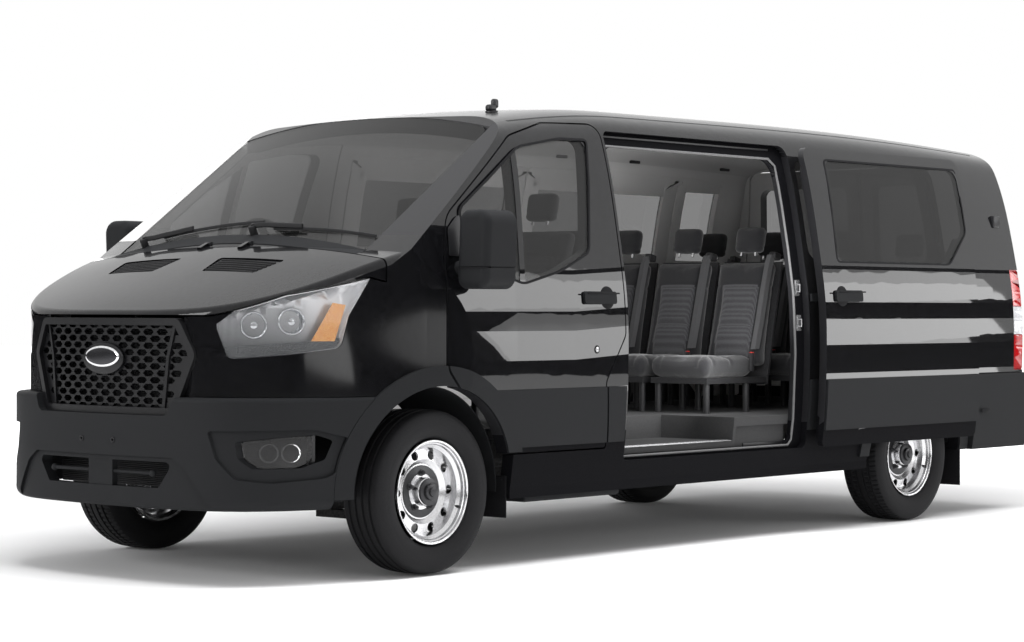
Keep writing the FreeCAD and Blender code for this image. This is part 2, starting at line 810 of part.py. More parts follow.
# Windscreen: outline in plan
screen_outline = [
    (screen_front_x, -screen_foot_half, 30.0), (screen_front_x, screen_foot_half, 30.0),
    (screen_top_x, screen_top_half, 60.0), (screen_top_x, -screen_top_half, 60.0),
]
screen_cut = plan_prism(screen_outline, belt_z, above_z)
windscreen = pane(plan_prism(grown(screen_outline, -fit), belt_z, above_z))
cowl = front_skin(box(
    screen_front_x + fit, bonnet_rear_x - gap, -screen_foot_half, screen_foot_half, 1250, 1600))

# Bonnet hinges: a lug on the bonnet between two lugs on the cowl at each side
bonnet_axis_x = bonnet_rear_x - 5.0
bonnet_axis_z = 1412.0
bonnet_lugs, cowl_lugs = [], []


def lug_rod(y_from, y_to, radius):
    """Round bar on the bonnet's hinge axis."""
    return rod((bonnet_axis_x, y_from, bonnet_axis_z), (bonnet_axis_x, y_to, bonnet_axis_z), radius)


for side in (-1, 1):
    y = side * bonnet_lug_y
    near = y - bonnet_lug_half
    away = y + bonnet_lug_half
    turn = lug_rod(near, away, bonnet_lug_radius)
    arm = side_prism([
        (bonnet_axis_x - 4, bonnet_axis_z - 7), (bonnet_axis_x, bonnet_axis_z + bonnet_lug_radius),
        (bonnet_axis_x + 52, bonnet_axis_z - 16), (bonnet_axis_x + 52, bonnet_axis_z - 30),
        (bonnet_axis_x + 5, bonnet_axis_z - 24)], near, away)
    bonnet_lugs.append(turn.fuse(arm))
    sweep = lug_rod(near - fit, away + fit, bonnet_lug_radius + bonnet_lug_room)
    arm_room = box(
        bonnet_axis_x - 12, bonnet_axis_x + 20, near - fit, away + fit, bonnet_axis_z - 32, bonnet_axis_z)
    cowl = cowl.cut(sweep).cut(arm_room)
    for low, high in ((near - bonnet_lug_half, near - fit), (away + fit, away + bonnet_lug_half)):
        post = lug_rod(low, high, bonnet_lug_radius)
        foot = side_prism([
            (bonnet_axis_x + 3, bonnet_axis_z - 8), (bonnet_axis_x - 3, bonnet_axis_z + 8),
            (bonnet_axis_x - 34, bonnet_axis_z + 4), (bonnet_axis_x - 34, bonnet_axis_z - 16),
            (bonnet_axis_x - 3, bonnet_axis_z - 20)], low, high)
        cowl_lugs.append(post.fuse(foot))
        bonnet = bonnet.cut(lug_rod(low - fit, high + fit, bonnet_lug_radius + bonnet_lug_room))
vent = plan_prism(vent_outline, 1100, 1600).cut(bonnet_body(vent_depth))
bonnet = bonnet.cut(vent).cut(mirrored(vent))
bonnet = bonnet.fuse(merged(bonnet_lugs).cut(front_inner)).removeSplitter()
cowl = cowl.fuse(merged(cowl_lugs).cut(front_inner)).removeSplitter()

# Front bumper and the wings behind it
bumper_inner = envelope(bumper_wall, 150.0)
flare_ring = axle_rod(front_axle_x, arch_depth_y, beyond_y, arch_radius + flare_width)
bumper_room = axle_rod(front_axle_x, -beyond_y, beyond_y, arch_radius + flare_width + 2)
bumper_band = side_prism([
    (2200.0, bumper_bottom_z), (far, bumper_bottom_z), (far, bumper_top_z), (2200.0, bumper_top_z)],
    -beyond_y, beyond_y)
bumper_blank = bumper_form(0.0).common(bumper_band)
rim_edges = [e for e in bumper_blank.Edges if e.BoundBox.XMax > 2900 and e.BoundBox.ZLength < 1]
top_edges = [e for e in rim_edges if e.BoundBox.ZMin > bumper_top_z - 1]
bumper_blank = bumper_blank.makeFillet(bumper_top_radius, top_edges)
low_edges = [e for e in bumper_blank.Edges if e.BoundBox.ZMax < bumper_bottom_z + 1]
foot_edges = [e for e in low_edges if e.BoundBox.XMax > 2900]
bumper_blank = bumper_blank.makeFillet(bumper_foot_radius, foot_edges)
intake = front_prism([
    (-intake_foot_half_width, intake_bottom_z, 20.0), (intake_foot_half_width, intake_bottom_z, 20.0),
    (intake_half_width, intake_top_z, 20.0), (-intake_half_width, intake_top_z, 20.0)], nose_rear_x, far)
apron = front_prism(apron_outline, nose_rear_x, far)
scoop = front_prism(scoop_outline, corner_rear_x, far)
dished = merged([apron, scoop, mirrored(scoop)]).cut(bumper_form(apron_depth))
fog_hole = front_prism(fog_outline, corner_rear_x, far)
fog_region = front_prism(grown(fog_outline, -fit), corner_rear_x, far)
fog_lamp = bumper_form(fog_depth).common(fog_region).cut(bumper_inner)
plate_holes = [
    rod((2800, y, plate_hole_z), (3100, y, plate_hole_z), plate_hole_radius)
    for y in (-plate_hole_spacing / 2, plate_hole_spacing / 2)
]
bumper = bumper_blank.cut(bumper_inner).cut(bumper_room).cut(dished)
bumper = bumper.cut(merged([intake, fog_hole, mirrored(fog_hole)] + plate_holes))

# Grille: a raised frame and two bowed bars around staggered flat hexagon cells
grille_outline = [
    (-410.0, grille_bottom_z, 40.0), (410.0, grille_bottom_z, 40.0), (grille_half_width, 940.0, 60.0),
    (432.0, grille_top_z, 40.0), (-432.0, grille_top_z, 40.0), (-grille_half_width, 940.0, 60.0),
]
grille_inner_outline = grown(grille_outline, -grille_frame_width)
grille_frame = trim_outer.common(front_prism(grille_outline, nose_rear_x, far)).cut(front_inner).cut(
    front_prism(grille_inner_outline, nose_rear_x, far))
grille_region = front_prism(grown(grille_inner_outline, 2.0), nose_rear_x, far)
grille_plate = glass_inner.common(grille_region).cut(front_inner)
bumper = bumper.cut(front_prism(grown(grille_outline, seat_gap), nose_rear_x, far))
bracket_x = bumper_plan[0][1] - 32.0
bar_ends = [Vector(bracket_x, y, intake_bar_z) for y in (-intake_bar_half, intake_bar_half)]
intake_bar = merged([
    rod(bar_ends[0], bar_ends[1], intake_bar_radius),
    Part.makeSphere(intake_knob_radius, bar_ends[0]),
    Part.makeSphere(intake_knob_radius, bar_ends[1]),
    box(bracket_x - 14, bracket_x + 14, -intake_bracket_half, intake_bracket_half,
        intake_bottom_z - 6, intake_top_z + 6),
])
bumper = bumper.fuse(intake_bar).removeSplitter()
half_cell_y = cell_pitch_y / 2 - cell_web
half_cell_z = cell_pitch_z / 2 - cell_web / 2
row_rise = cell_pitch_z * 0.86
cells_middle_z = (grille_top_z + grille_bottom_z) / 2
cells = []
for row in range(-6, 7):
    shift = cell_pitch_y / 2 if row % 2 else 0.0
    for column in range(-8, 9):
        middle_y = column * cell_pitch_y + shift
        middle_z = cells_middle_z + row * row_rise
        taper = 1 - abs(middle_z - 940.0) / 250.0
        limit = 410.0 + (grille_half_width - 410.0) * taper - grille_frame_width - half_cell_y
        if abs(middle_y) > limit:
            continue
        across = middle_y / (badge_width / 2 + 30)
        above = (middle_z - badge_z) / (badge_height / 2 + 18)
        if across ** 2 + above ** 2 < 1.0:
            continue
        cells.append(front_prism([
            (middle_y - half_cell_y, middle_z), (middle_y - half_cell_y * 0.55, middle_z - half_cell_z),
            (middle_y + half_cell_y * 0.55, middle_z - half_cell_z), (middle_y + half_cell_y, middle_z),
            (middle_y + half_cell_y * 0.55, middle_z + half_cell_z),
            (middle_y - half_cell_y * 0.55, middle_z + half_cell_z)], nose_rear_x, far))
bar_outline = [
    (398.0, grille_top_z - 20), (398.0 + grille_bar_width, grille_top_z - 20),
    (362.0 + grille_bar_width, 930.0), (338.0 + grille_bar_width, grille_bottom_z + 20),
    (338.0, grille_bottom_z + 20), (362.0, 930.0)]
grille_bar = outer.common(front_prism(bar_outline, nose_rear_x, far)).cut(front_inner)
grille = merged([grille_plate.cut(Part.makeCompound(cells)), grille_frame, grille_bar, mirrored(grille_bar)])
badge_face = Part.Face(Part.Wire(Part.Ellipse(Vector(0, 0, 0), badge_width / 2, badge_height / 2).toShape()))
badge = badge_face.extrude(Vector(0, 0, badge_depth))
badge.rotate(Vector(0, 0, 0), Vector(0, 0, 1), 90)
badge.rotate(Vector(0, 0, 0), Vector(0, 1, 0), 90)
badge.translate(Vector(nose_plan[0][1] - glass_recess - glass + fit, 0, badge_z))

# Wings: the skin between bumper, lamp, bonnet and door
wing_region = side_prism([
    (door_front_x + gap, 800.0), (door_front_x + gap, 1330.0), (1950.0, 1440.0), (2250.0, 1440.0),
    (2420.0, 1250.0), (2900.0, 1130.0), (2900.0, bumper_top_z + 2), (1860.0, bumper_top_z + 2),
    (1840.0, 780.0)], 440, beyond_y)
wing = front_skin(wing_region)
bonnet_cut = side_prism(bonnet_cut_outline, -beyond_y, beyond_y)
for cutter in (bonnet_cut, headlamp_cut, arch_front, door_cut, screen_cut,
               side_prism(grown([(c[0], c[1]) for c in door_outline], gap), 0, beyond_y)):
    wing = wing.cut(cutter)
front_opening = front_prism(grown(grille_outline, seat_gap), nose_rear_x, far)
wing = wing.cut(front_opening).cut(box(0, bonnet_rear_x, 0, screen_foot_half + fit, 1200, 2000))

# Side walls: sill, pillars and rear panel in one, and the roof between them
wall_region = side_prism([
    (-far, sill_bottom_z), (2300.0, sill_bottom_z), (2300.0, above_z), (-far, above_z)],
    roof_half, beyond_y)
side_wall = skin(wall_region)
front_end = side_prism([
    (1500.0, 0.0), (far, 0.0), (far, 1440.0), (2050.0, 1440.0), (door_front_x + gap / 2, 1350.0),
    (door_front_x + gap / 2, door_bottom_z - gap), (1500.0, door_bottom_z - gap)], 0, beyond_y)
sill_front_x = arch_foot_x
front_end_low = box(sill_front_x, far, 0, beyond_y, 0, 1000)
rear_end_low = box(-far, rear_axle_x, 0, beyond_y, 0, rear_bumper_bottom_z + fit)
side_wall_plain = side_wall.cut(front_end).cut(front_end_low).cut(
    merged([door_cut, arch_front, arch_rear, rear_end_low, rear_opening, tail_lamp_cut, screen_cut]))
wing = wing.cut(side_wall_plain)
windows = [side_prism(outline, 500, beyond_y) for outline in rear_windows]
side_wall_left = side_wall_plain.cut(merged([windows[0], doorway])).cut(door_seat)
side_wall_right = mirrored(side_wall_plain.cut(merged(windows + [side_prism(right_window, 500, beyond_y)])))
wall_glass = [
    pane(side_prism(grown(outline, -fit), 500, beyond_y)) for outline in rear_windows
]
right_glass = mirrored(pane(side_prism(grown(right_window, -fit), 500, beyond_y)))
roof = skin(box(-far, screen_top_x - fit, -roof_half + fit, roof_half - fit, 1880, above_z)).cut(rear_opening)
ditch = box(-2700, 1300, ditch_y, ditch_y + ditch_width, 1900, above_z).cut(ditch_floor)
grooves = merged([
    box(-2500, 560, side * y - roof_groove_width / 2, side * y + roof_groove_width / 2, 1900, above_z)
    for y in roof_groove_ys for side in (1, -1)]).cut(ditch_floor)
roof = roof.cut(merged([ditch, mirrored(ditch), grooves]))
side_wall_left = side_wall_left.cut(ditch)
side_wall_right = side_wall_right.cut(mirrored(ditch))
tail_sill = skin(box(-far, tail_inner_x, -roof_half + fit, roof_half - fit, rear_bumper_bottom_z + fit,
                     rear_door_bottom_z - gap))

# Cladding and flares on walls and doors
cladding_band = side_prism([
    (-2600.0, cladding_bottom_z), (-2600.0, cladding_top_z), (2700.0, cladding_top_z),
    (2700.0, cladding_bottom_z)], 500, beyond_y)
rear_ring = axle_rod(rear_axle_x, arch_depth_y, beyond_y, arch_radius + flare_width)
cladding = trim(cladding_band).cut(flare_ring.fuse(rear_ring))
door_cladding = cladding.common(side_prism(grown(door_outline, -4.0), 500, beyond_y))
wall_cladding_rear = cladding.common(box(-2200, slider_rear_x - gap, 0, beyond_y, 0, 2000))
pillar_cladding = cladding.common(box(doorway_front_x + 22, 1300, 0, beyond_y, 0, 2000)).cut(
    side_prism(grown(door_outline, gap), 500, beyond_y))
right_cladding_mid = cladding.common(box(slider_rear_x - gap, doorway_front_x + 22, 0, beyond_y, 0, 2000))
front_flare = trim(flare_ring).cut(arch_front).cut(box(0, 3000, 0, beyond_y, 0, bumper_bottom_z + 40))
door_flare = front_flare.common(side_prism(grown(door_outline, -4.0), 500, beyond_y))
wing_flare = front_flare.cut(side_prism(grown(door_outline, gap), 500, beyond_y)).cut(
    box(0, front_axle_x - 100, 0, beyond_y, 0, 2000))
rear_flare = trim(rear_ring).cut(arch_rear).cut(box(-3000, 0, 0, beyond_y, 0, bumper_bottom_z + 60))

# Mirror on its two-part arm, and the handles
mirror_outline = [
    (mirror_in_y, mirror_bottom_z, 44.0), (mirror_out_y - 14, mirror_bottom_z, 56.0),
    (mirror_out_y, mirror_top_z, 62.0), (mirror_in_y + 12, mirror_top_z, 50.0)]
mirror_head = front_prism(mirror_outline, mirror_rear_x, mirror_front_x)
mirror_front = [e for e in mirror_head.Edges if e.BoundBox.XMin > mirror_front_x - 1]
mirror_head = mirror_head.makeFillet(mirror_edge_radius, mirror_front)
mirror_split = box(
    mirror_rear_x - 5, mirror_front_x + 5, 1000, beyond_y, mirror_bottom_z + 88, mirror_bottom_z + 94)
mirror_core = front_prism(grown(mirror_outline, -6), mirror_rear_x - 5, mirror_front_x - 40)
mirror_dish = front_prism(grown(mirror_outline, -14), mirror_rear_x - 5, mirror_rear_x + 6)
mirror_head = mirror_head.cut(mirror_split.cut(mirror_core)).cut(mirror_dish)
mirror_arm = rod((1860, 960, mirror_arm_z), (1830, 1060, mirror_arm_z), 32)
mirror = mirror_head.fuse(mirror_arm).cut(skin_clear).removeSplitter()


def handle(x_rear, x_front, z_low, z_high):
    """Pull handle lying on the skin."""
    return trim(side_prism([
        (x_rear, z_low + 18, 14.0), (x_rear, z_high - 18, 14.0), (x_front, z_high - 18, 14.0),
        (x_front, z_low + 18, 14.0)], 500, beyond_y))


door_handle = handle(812.0, 1040.0, 1133.0, 1226.0)
slider_handle = handle(415.0, 655.0, 1150.0, 1243.0)
slider_handle.translate(opened)

# Rear bumper: a stepped beam across the tail, wrapping to the sides
rear_bumper_corner = box(
    -far, rear_bumper_wrap_x, tail_corner_y, beyond_y, rear_bumper_bottom_z, rear_bumper_side_z)
rear_bumper_body = bumper_outer.common(merged([
    box(-far, rear_bumper_front_x, -beyond_y, beyond_y, rear_bumper_bottom_z, rear_bumper_top_z),
    rear_bumper_corner, mirrored(rear_bumper_corner)]))
rear_step = plan_prism([
    (-2820.0, -840.0), (rear_bumper_x, -780.0, 60.0), (rear_bumper_x, 780.0, 60.0), (-2820.0, 840.0)],
    rear_bumper_bottom_z + 60, rear_bumper_top_z - step_ledge)
above_step = box(
    -far, rear_bumper_face_x, -tail_corner_y, tail_corner_y, rear_bumper_top_z - step_ledge, 1000)
hinge_notch = box(
    -far, tail_line[1][0] + 2, tail_corner_y - 1, hinge_y + hinge_leaf + hinge_room,
    rear_hinge_heights[0] - rear_hinge_height / 2 - hinge_room, 1000)
rear_bumper = rear_bumper_body.fuse(rear_step).cut(skin_clear).removeSplitter()
rear_bumper = rear_bumper.cut(merged([above_step, hinge_notch, mirrored(hinge_notch)]))
rear_bumper = rear_bumper.cut(rod((rear_axle_x, -beyond_y, hub_z), (rear_axle_x, beyond_y, hub_z),
                                  arch_radius + flare_width + 2))

# Floor with a step well at the doorway and a raised platform behind it
liner_outer = axle_rod(rear_axle_x, housing_inner_y, beyond_y, housing_radius + liner)
floor_blank = inside.common(box(-2900, 1500, -1200, 1200, floor_top_z - floor_thickness, floor_top_z))
front_floor = box(1500, 1890, -500, 500, floor_top_z - floor_thickness, floor_top_z)
well_cut = box(step_rear_x, step_front_x, step_inner_y, 1200, 0, 1000)
floor_blank = floor_blank.fuse(front_floor).cut(merged([liner_outer, mirrored(liner_outer), well_cut]))
well = inside.common(box(
    step_rear_x - 20, step_front_x + 20, step_inner_y - 20, 1200, step_top_z - 30, floor_top_z))
well = well.cut(box(step_rear_x, step_front_x, step_inner_y, 1200, step_top_z, 1000))
floor_pan = floor_blank.cut(well_cut).fuse(well).removeSplitter()
wheelhouse = inside.common(liner_outer.common(box(-far, far, housing_inner_y, 1200, 440, 1000))).cut(
    rod((rear_axle_x, housing_inner_y + liner, hub_z), (rear_axle_x, beyond_y, hub_z), housing_radius))
floor_pan = floor_pan.fuse([wheelhouse, mirrored(wheelhouse), tail_sill]).removeSplitter()
front_liner = inside.common(
    rod((front_axle_x, front_liner_y, hub_z), (front_axle_x, front_liner_out_y, hub_z), arch_radius - 2)).cut(
    rod((front_axle_x, 0, hub_z), (front_axle_x, beyond_y, hub_z), arch_radius - 2 - liner)).cut(
    box(0, far, 0, beyond_y, 0, 330)).cut(
    rod((front_axle_x, strut_y, 0), (front_axle_x, strut_y, 1200), 62))

# Scuttle: bulkhead, toe board and the panel below the windscreen
scuttle_region = side_prism([
    (1890.0, floor_top_z - floor_thickness), (1920.0, floor_top_z - floor_thickness), (1960.0, 1130.0),
    (2240.0, 1330.0), (2240.0, 1340.0), (2200.0, 1340.0), (1890.0, 1180.0)], -beyond_y, beyond_y)
scuttle = scuttle_region.common(inside).common(box(0, far, -front_liner_out_y, front_liner_out_y, 0, 2000))
for side in (1, -1):
    wheel_room = axle_rod(front_axle_x, side * front_liner_y, side * beyond_y, arch_radius + 30)
    scuttle = scuttle.cut(wheel_room)

# Dashboard across the cabin, ahead of the front seats
dash_outline = [
    (1640.0, 1010.0, 40.0), (1600.0, 1230.0, 40.0), (1700.0, 1330.0, 60.0), (1860.0, 1330.0, 20.0),
    (1890.0, 1180.0), (1890.0, 900.0, 20.0), (1760.0, 860.0, 40.0)]
dashboard = side_prism(dash_outline, -dash_half_width, dash_half_width)
steering_wheel = Part.makeTorus(steering_wheel_radius, steering_rim_radius)
spoke = merged([
    Part.makeCylinder(52, 34, Vector(0, 0, -17)),
    box(-steering_wheel_radius, steering_wheel_radius, -20, 20, -8, 8),
    box(-18, 18, -steering_wheel_radius, 0, -8, 8),
    Part.makeCylinder(24, 330, Vector(0, 0, -330)),
])
steering_wheel = steering_wheel.fuse(spoke).removeSplitter()
steering_wheel.rotate(Vector(0, 0, 0), Vector(0, 0, 1), 90)
steering_wheel.rotate(Vector(0, 0, 0), Vector(0, 1, 0), -steering_rake_deg)
steering_wheel.translate(Vector(steering_wheel_x, steering_wheel_y, steering_wheel_z))
steering_wheel = steering_wheel.cut(dashboard)


def seat(front_x, middle_y, cushion_top, width):
    """Cushion, leaning back and headrest of one seat, facing forward, each a closed pad."""
    back_x = front_x - cushion_depth
    cushion = side_prism([
        (front_x, cushion_top - cushion_thickness, 30.0), (front_x, cushion_top, 35.0),
        (back_x, cushion_top - 25, 20.0), (back_x, cushion_top - cushion_thickness, 20.0)],
        middle_y - width / 2, middle_y + width / 2)
    lean = radians(seat_back_lean_deg)
    up = Vector(-sin(lean), 0, cos(lean))
    out = Vector(cos(lean), 0, sin(lean))
    foot = Vector(back_x - seat_back_thickness * cos(lean) - 2 * fit, 0, cushion_top - 80)

    def at(u, v):
        point = foot.add(Vector(out).multiply(u)).add(Vector(up).multiply(v))
        return (point.x, point.z)

    back_corners = [
        at(0, 0), at(seat_back_thickness, 0), at(seat_back_thickness - 15, seat_back_height),
        at(10, seat_back_height)]
    back_half = width / 2 - 8
    back = side_prism([(u, v, 22.0) for u, v in back_corners], middle_y - back_half, middle_y + back_half)
    rest_low = seat_back_height + headrest_gap
    rest_high = rest_low + headrest_height
    rest_corners = [
        at(5, rest_low), at(5 + headrest_depth, rest_low), at(headrest_depth - 5, rest_high),
        at(15, rest_high)]
    rest_half = headrest_width / 2
    rest = side_prism([(u, v, 25.0) for u, v in rest_corners], middle_y - rest_half, middle_y + rest_half)
    posts = []
    for side in (-1, 1):
        low = at(seat_back_thickness / 2, seat_back_height + fit)
        high = at(seat_back_thickness / 2, rest_low - fit)
        y = middle_y + side * headrest_post_out
        posts.append(rod((low[0], y, low[1]), (high[0], y, high[1]), headrest_post_radius))
    board_top = seat_back_height - 20
    board_corners = [at(-fit, -40), at(-fit, board_top), at(-seat_board, board_top), at(-seat_board, -70)]
    board_half = width / 2 - seat_board
    board = side_prism(board_corners, middle_y - board_half, middle_y + board_half)
    for side in (-1, 1):
        y = middle_y + side * (width / 2 - 30)
        foot_x = at(-seat_board, -70)[0]
        frame_top = cushion_top - cushion_thickness - fit
        board = board.fuse(box(foot_x, foot_x + 160, y - 10, y + 10, frame_top - seat_tube, frame_top))
    return [cushion, back, rest], posts, board


def seat_base(front_x, middle_y, cushion_top, width):
    """Tube legs and a cross frame under a cushion, standing on the floor."""
    top = cushion_top - cushion_thickness - fit
    tubes = []
    for x in (front_x - 70, front_x - cushion_depth + 60):
        for side in (-1, 1):
            y = middle_y + side * (width / 2 - 45)
            tubes.append(rod((x, y, floor_top_z), (x, y, top - 10), seat_leg_radius))
    frame_half = width / 2 - 20
    tubes.append(box(
        front_x - cushion_depth + 30, front_x - 40, middle_y - frame_half, middle_y + frame_half,
        top - seat_tube, top))
    return merged(tubes)


rows = []
seat_parts = []
for row in range(row_count):
    pads = []
    front_x = row_2_x - row * row_pitch
    for place in range(seats_across):
        y = seat_middle_y + (place - (seats_across - 1) / 2) * seat_pitch
        soft, posts, board = seat(front_x, y, cushion_top_z, seat_width)
        pads.extend(soft)
        seat_parts.extend(posts)
        seat_parts.append(board.fuse(seat_base(front_x, y, cushion_top_z, seat_width)).removeSplitter())
    rows.append(pads)
front_pads = []
for side in (-1, 1):
    soft, posts, board = seat(front_seat_x, side * front_seat_y, front_cushion_top_z, front_seat_width)
    front_pads.extend(soft)
    seat_parts.extend(posts)
    base = seat_base(front_seat_x, side * front_seat_y, front_cushion_top_z, front_seat_width)
    seat_parts.append(board.fuse(base).removeSplitter())

# Ladder rails, cross-members and the engine
rail_top = floor_top_z - floor_thickness
rail_bottom = rail_top - rail_height
cross_bottom = rail_top - cross_drop - cross_height
rails = [
    side_box(side, rail_rear_x, rail_front_x, rail_y - rail_width / 2, rail_y + rail_width / 2,
             rail_bottom, rail_top)
    for side in (-1, 1)]
for x in cross_member_xs:
    rails.append(box(x - cross_half, x + cross_half, -rail_y, rail_y, cross_bottom, rail_top - cross_drop))
chassis = merged(rails)
engine = box(engine_front_x - engine_length, engine_front_x, -engine_half, engine_half,
             engine_bottom_z, engine_top_z)
gearbox = box(gearbox_rear_x, engine_front_x - engine_length + 15, -gearbox_half, gearbox_half,
              gearbox_bottom_z, cross_bottom - fit)
engine = engine.fuse(gearbox).removeSplitter()

# Rear axle on leaf springs, with the propeller shaft
axle_end = rear_track / 2
axle = merged([
    rod((rear_axle_x, -axle_end + 60, hub_z), (rear_axle_x, axle_end - 60, hub_z), axle_tube_radius),
    Part.makeSphere(diff_radius, Vector(rear_axle_x, 0, hub_z)),
    rod((rear_axle_x, 0, hub_z), (gearbox_rear_x - 2, 0, shaft_front_z), shaft_radius),
    rod((rear_axle_x, -axle_end + 4, hub_z), (rear_axle_x, axle_end - 4, hub_z), hub_bore - fit),
    rod((rear_axle_x, axle_end - 100, hub_z), (rear_axle_x, axle_end - 20, hub_z), brake_radius),
    rod((rear_axle_x, -axle_end + 100, hub_z), (rear_axle_x, -axle_end + 20, hub_z), brake_radius),
])
springs = []
for side in (-1, 1):
    y = side * spring_y
    springs.append(side_prism([
        (rear_axle_x + spring_reach, 415.0), (rear_axle_x + spring_reach, 435.0), (rear_axle_x, 328.0),
        (rear_axle_x - spring_reach, 435.0), (rear_axle_x - spring_reach, 415.0), (rear_axle_x, 300.0)],
        y - spring_half, y + spring_half))
    for x in (rear_axle_x + spring_reach - 10, rear_axle_x - spring_reach + 10):
        springs.append(box(x - 30, x + 30, y - spring_half, y + spring_half, 415, rail_top))
axle = merged([axle] + springs)

# Front suspension: subframe, lower arms, struts and their towers
kingpin_low = hub_z - kingpin_below
kingpin_high = hub_z + kingpin_above
arm_low = kingpin_low - arm_thickness
arm_high = kingpin_low - fit
tower_low = tower_top_z - tower_plate
front_gear = [box(
    front_axle_x - subframe_half, front_axle_x + subframe_half, -rail_y, rail_y,
    subframe_bottom_z, subframe_top_z)]
for side in (-1, 1):
    arm = (front_axle_x - arm_half, front_axle_x + arm_half)
    tower = (front_axle_x - tower_half, front_axle_x + tower_half)
    joint_y = side * steering_axis_y
    top_y = side * strut_y
    front_gear.extend([
        side_box(side, *arm, 300, steering_axis_y - 10, arm_low, arm_high),
        rod((front_axle_x, joint_y, arm_low), (front_axle_x, joint_y, arm_high), arm_half),
        side_box(side, *arm, 290, 380, arm_low, subframe_top_z - 5),
        side_box(side, front_axle_x - 80, front_axle_x + 80, 410, rail_y, 300, rail_bottom),
        rod((front_axle_x, top_y, kingpin_high + fit), (front_axle_x, top_y, tower_low), strut_radius),
        side_box(side, front_axle_x - 24, front_axle_x + 24, strut_y, steering_axis_y,
                 kingpin_high + fit, kingpin_high + 20),
        rod((front_axle_x, top_y, strut_body_bottom_z), (front_axle_x, top_y, tower_low), strut_body_radius),
        side_box(side, *tower, 400, 690, tower_low, tower_top_z),
        side_box(side, *tower, 400, 430, rail_top, tower_low),
    ])
front_suspension = merged(front_gear).cut(scuttle)

# Fuel tank and exhaust
tank = plan_prism([
    (-345, 120, 60.0), (-345, 390, 60.0), (-1100, 390, 60.0), (-1100, 120, 60.0)], 300, cross_bottom - fit)
exhaust = merged([
    rod((1250, pipe_y, pipe_z), (-1300, pipe_y, pipe_z), pipe_radius),
    rod((-200, pipe_y, pipe_z + 20), (600, pipe_y, pipe_z + 20), silencer_radius),
] + [rod((x, pipe_y, pipe_z), (x, pipe_y, cross_bottom - fit), 8) for x in (900, -300, -1150)])


def knuckle(side):
    """Upright on the steering axis with its stub axle, steering arm and brake caliper."""
    y = side * steering_axis_y
    hub_y = side * front_track / 2
    pieces = [
        rod((front_axle_x, y, kingpin_low), (front_axle_x, y, kingpin_high), kingpin_radius),
        rod((front_axle_x, y - side * 30, hub_z), (front_axle_x, hub_y - side * 4, hub_z), hub_bore - fit),
        rod((front_axle_x, y - side * 30, hub_z), (front_axle_x, y + side * 12, hub_z), 60),
        side_box(side, front_axle_x - 140, front_axle_x - 20, steering_axis_y - 25, steering_axis_y,
                 hub_z - 70, hub_z - 45),
    ]
    return merged(pieces)


def rim(axle_x, track, side):
    """Pressed steel wheel with its round holes, hub and brake disc, turned about the axle."""
    centre = Vector(axle_x, side * track / 2, hub_z)
    w = rim_width / 2
    face = rim_face_out
    profile = [
        (hub_bore, -8.0), (hub_bore, face + 30), (hub_radius - 12, face + 34), (hub_radius, face + 26),
        (hub_radius + 4, face - 6), (118.0, face - 14), (138.0, face + 2), (178.0, face - 4),
        (188.0, w - 30), (206.0, w - 14), (212.0, w + 6), (rim_flange_radius, w + 8),
        (rim_flange_radius, w + 2), (205.0, w - 6), (200.0, w - 22), (200.0, -w + 12),
        (rim_flange_radius - 2, -w), (rim_flange_radius - 2, -w - 6), (208.0, -w - 4), (192.0, -w + 14),
        (190.0, face - 40), (172.0, face - 14), (140.0, face - 6), (120.0, face - 22),
        (60.0, face - 16), (60.0, -8.0),
    ]
    turned_rim = turned([(r, side * s) for r, s in profile], centre)
    holes = []
    for index in range(wheel_hole_count):
        angle = 2 * pi * index / wheel_hole_count
        x = centre.x + wheel_hole_circle * cos(angle)
        z = centre.z + wheel_hole_circle * sin(angle)
        holes.append(rod((x, centre.y - side * 30, z), (x, centre.y + side * 80, z), wheel_hole_radius))
    return turned_rim.cut(Part.makeCompound(holes))


def tyre(axle_x, track, side):
    """Tyre with rounded shoulders and a hollow, seated on the rim's flanges."""
    centre = Vector(axle_x, side * track / 2, hub_z)
    h = tyre_width / 2
    bead = rim_flange_radius + fit
    w = rim_width / 2
    profile = [
        (bead, w - 16), (bead, w + 12), (bead + 28, h - 4), (bead + 60, h), (tyre_radius - 38, h - 4),
        (tyre_radius - 12, h - 18), (tyre_radius - 3, h - 42), (tyre_radius, 0.0)]
    half = profile + [(r, -s) for r, s in reversed(profile[:-1])]
    hollow = [(tyre_radius - 22, h - 60), (tyre_radius - 30, h - 22), (bead + 40, h - 12), (bead + 8, w - 16)]
    ring = half + [(r, -s) for r, s in reversed(hollow)] + hollow
    return turned(ring, centre)


# Bars that carry the sliding door, and the arms that reach it
track_bar = trim(box(-2260, -760, 0, beyond_y, 1168, 1208))
roller_outer = envelope(-(slider_out - wall - 1.2), sill_bottom_z)
carriage = roller_outer.common(box(-1000, -820, 0, beyond_y, 1174, 1202)).cut(trim_outer)
track_bar = track_bar.fuse(carriage).removeSplitter()

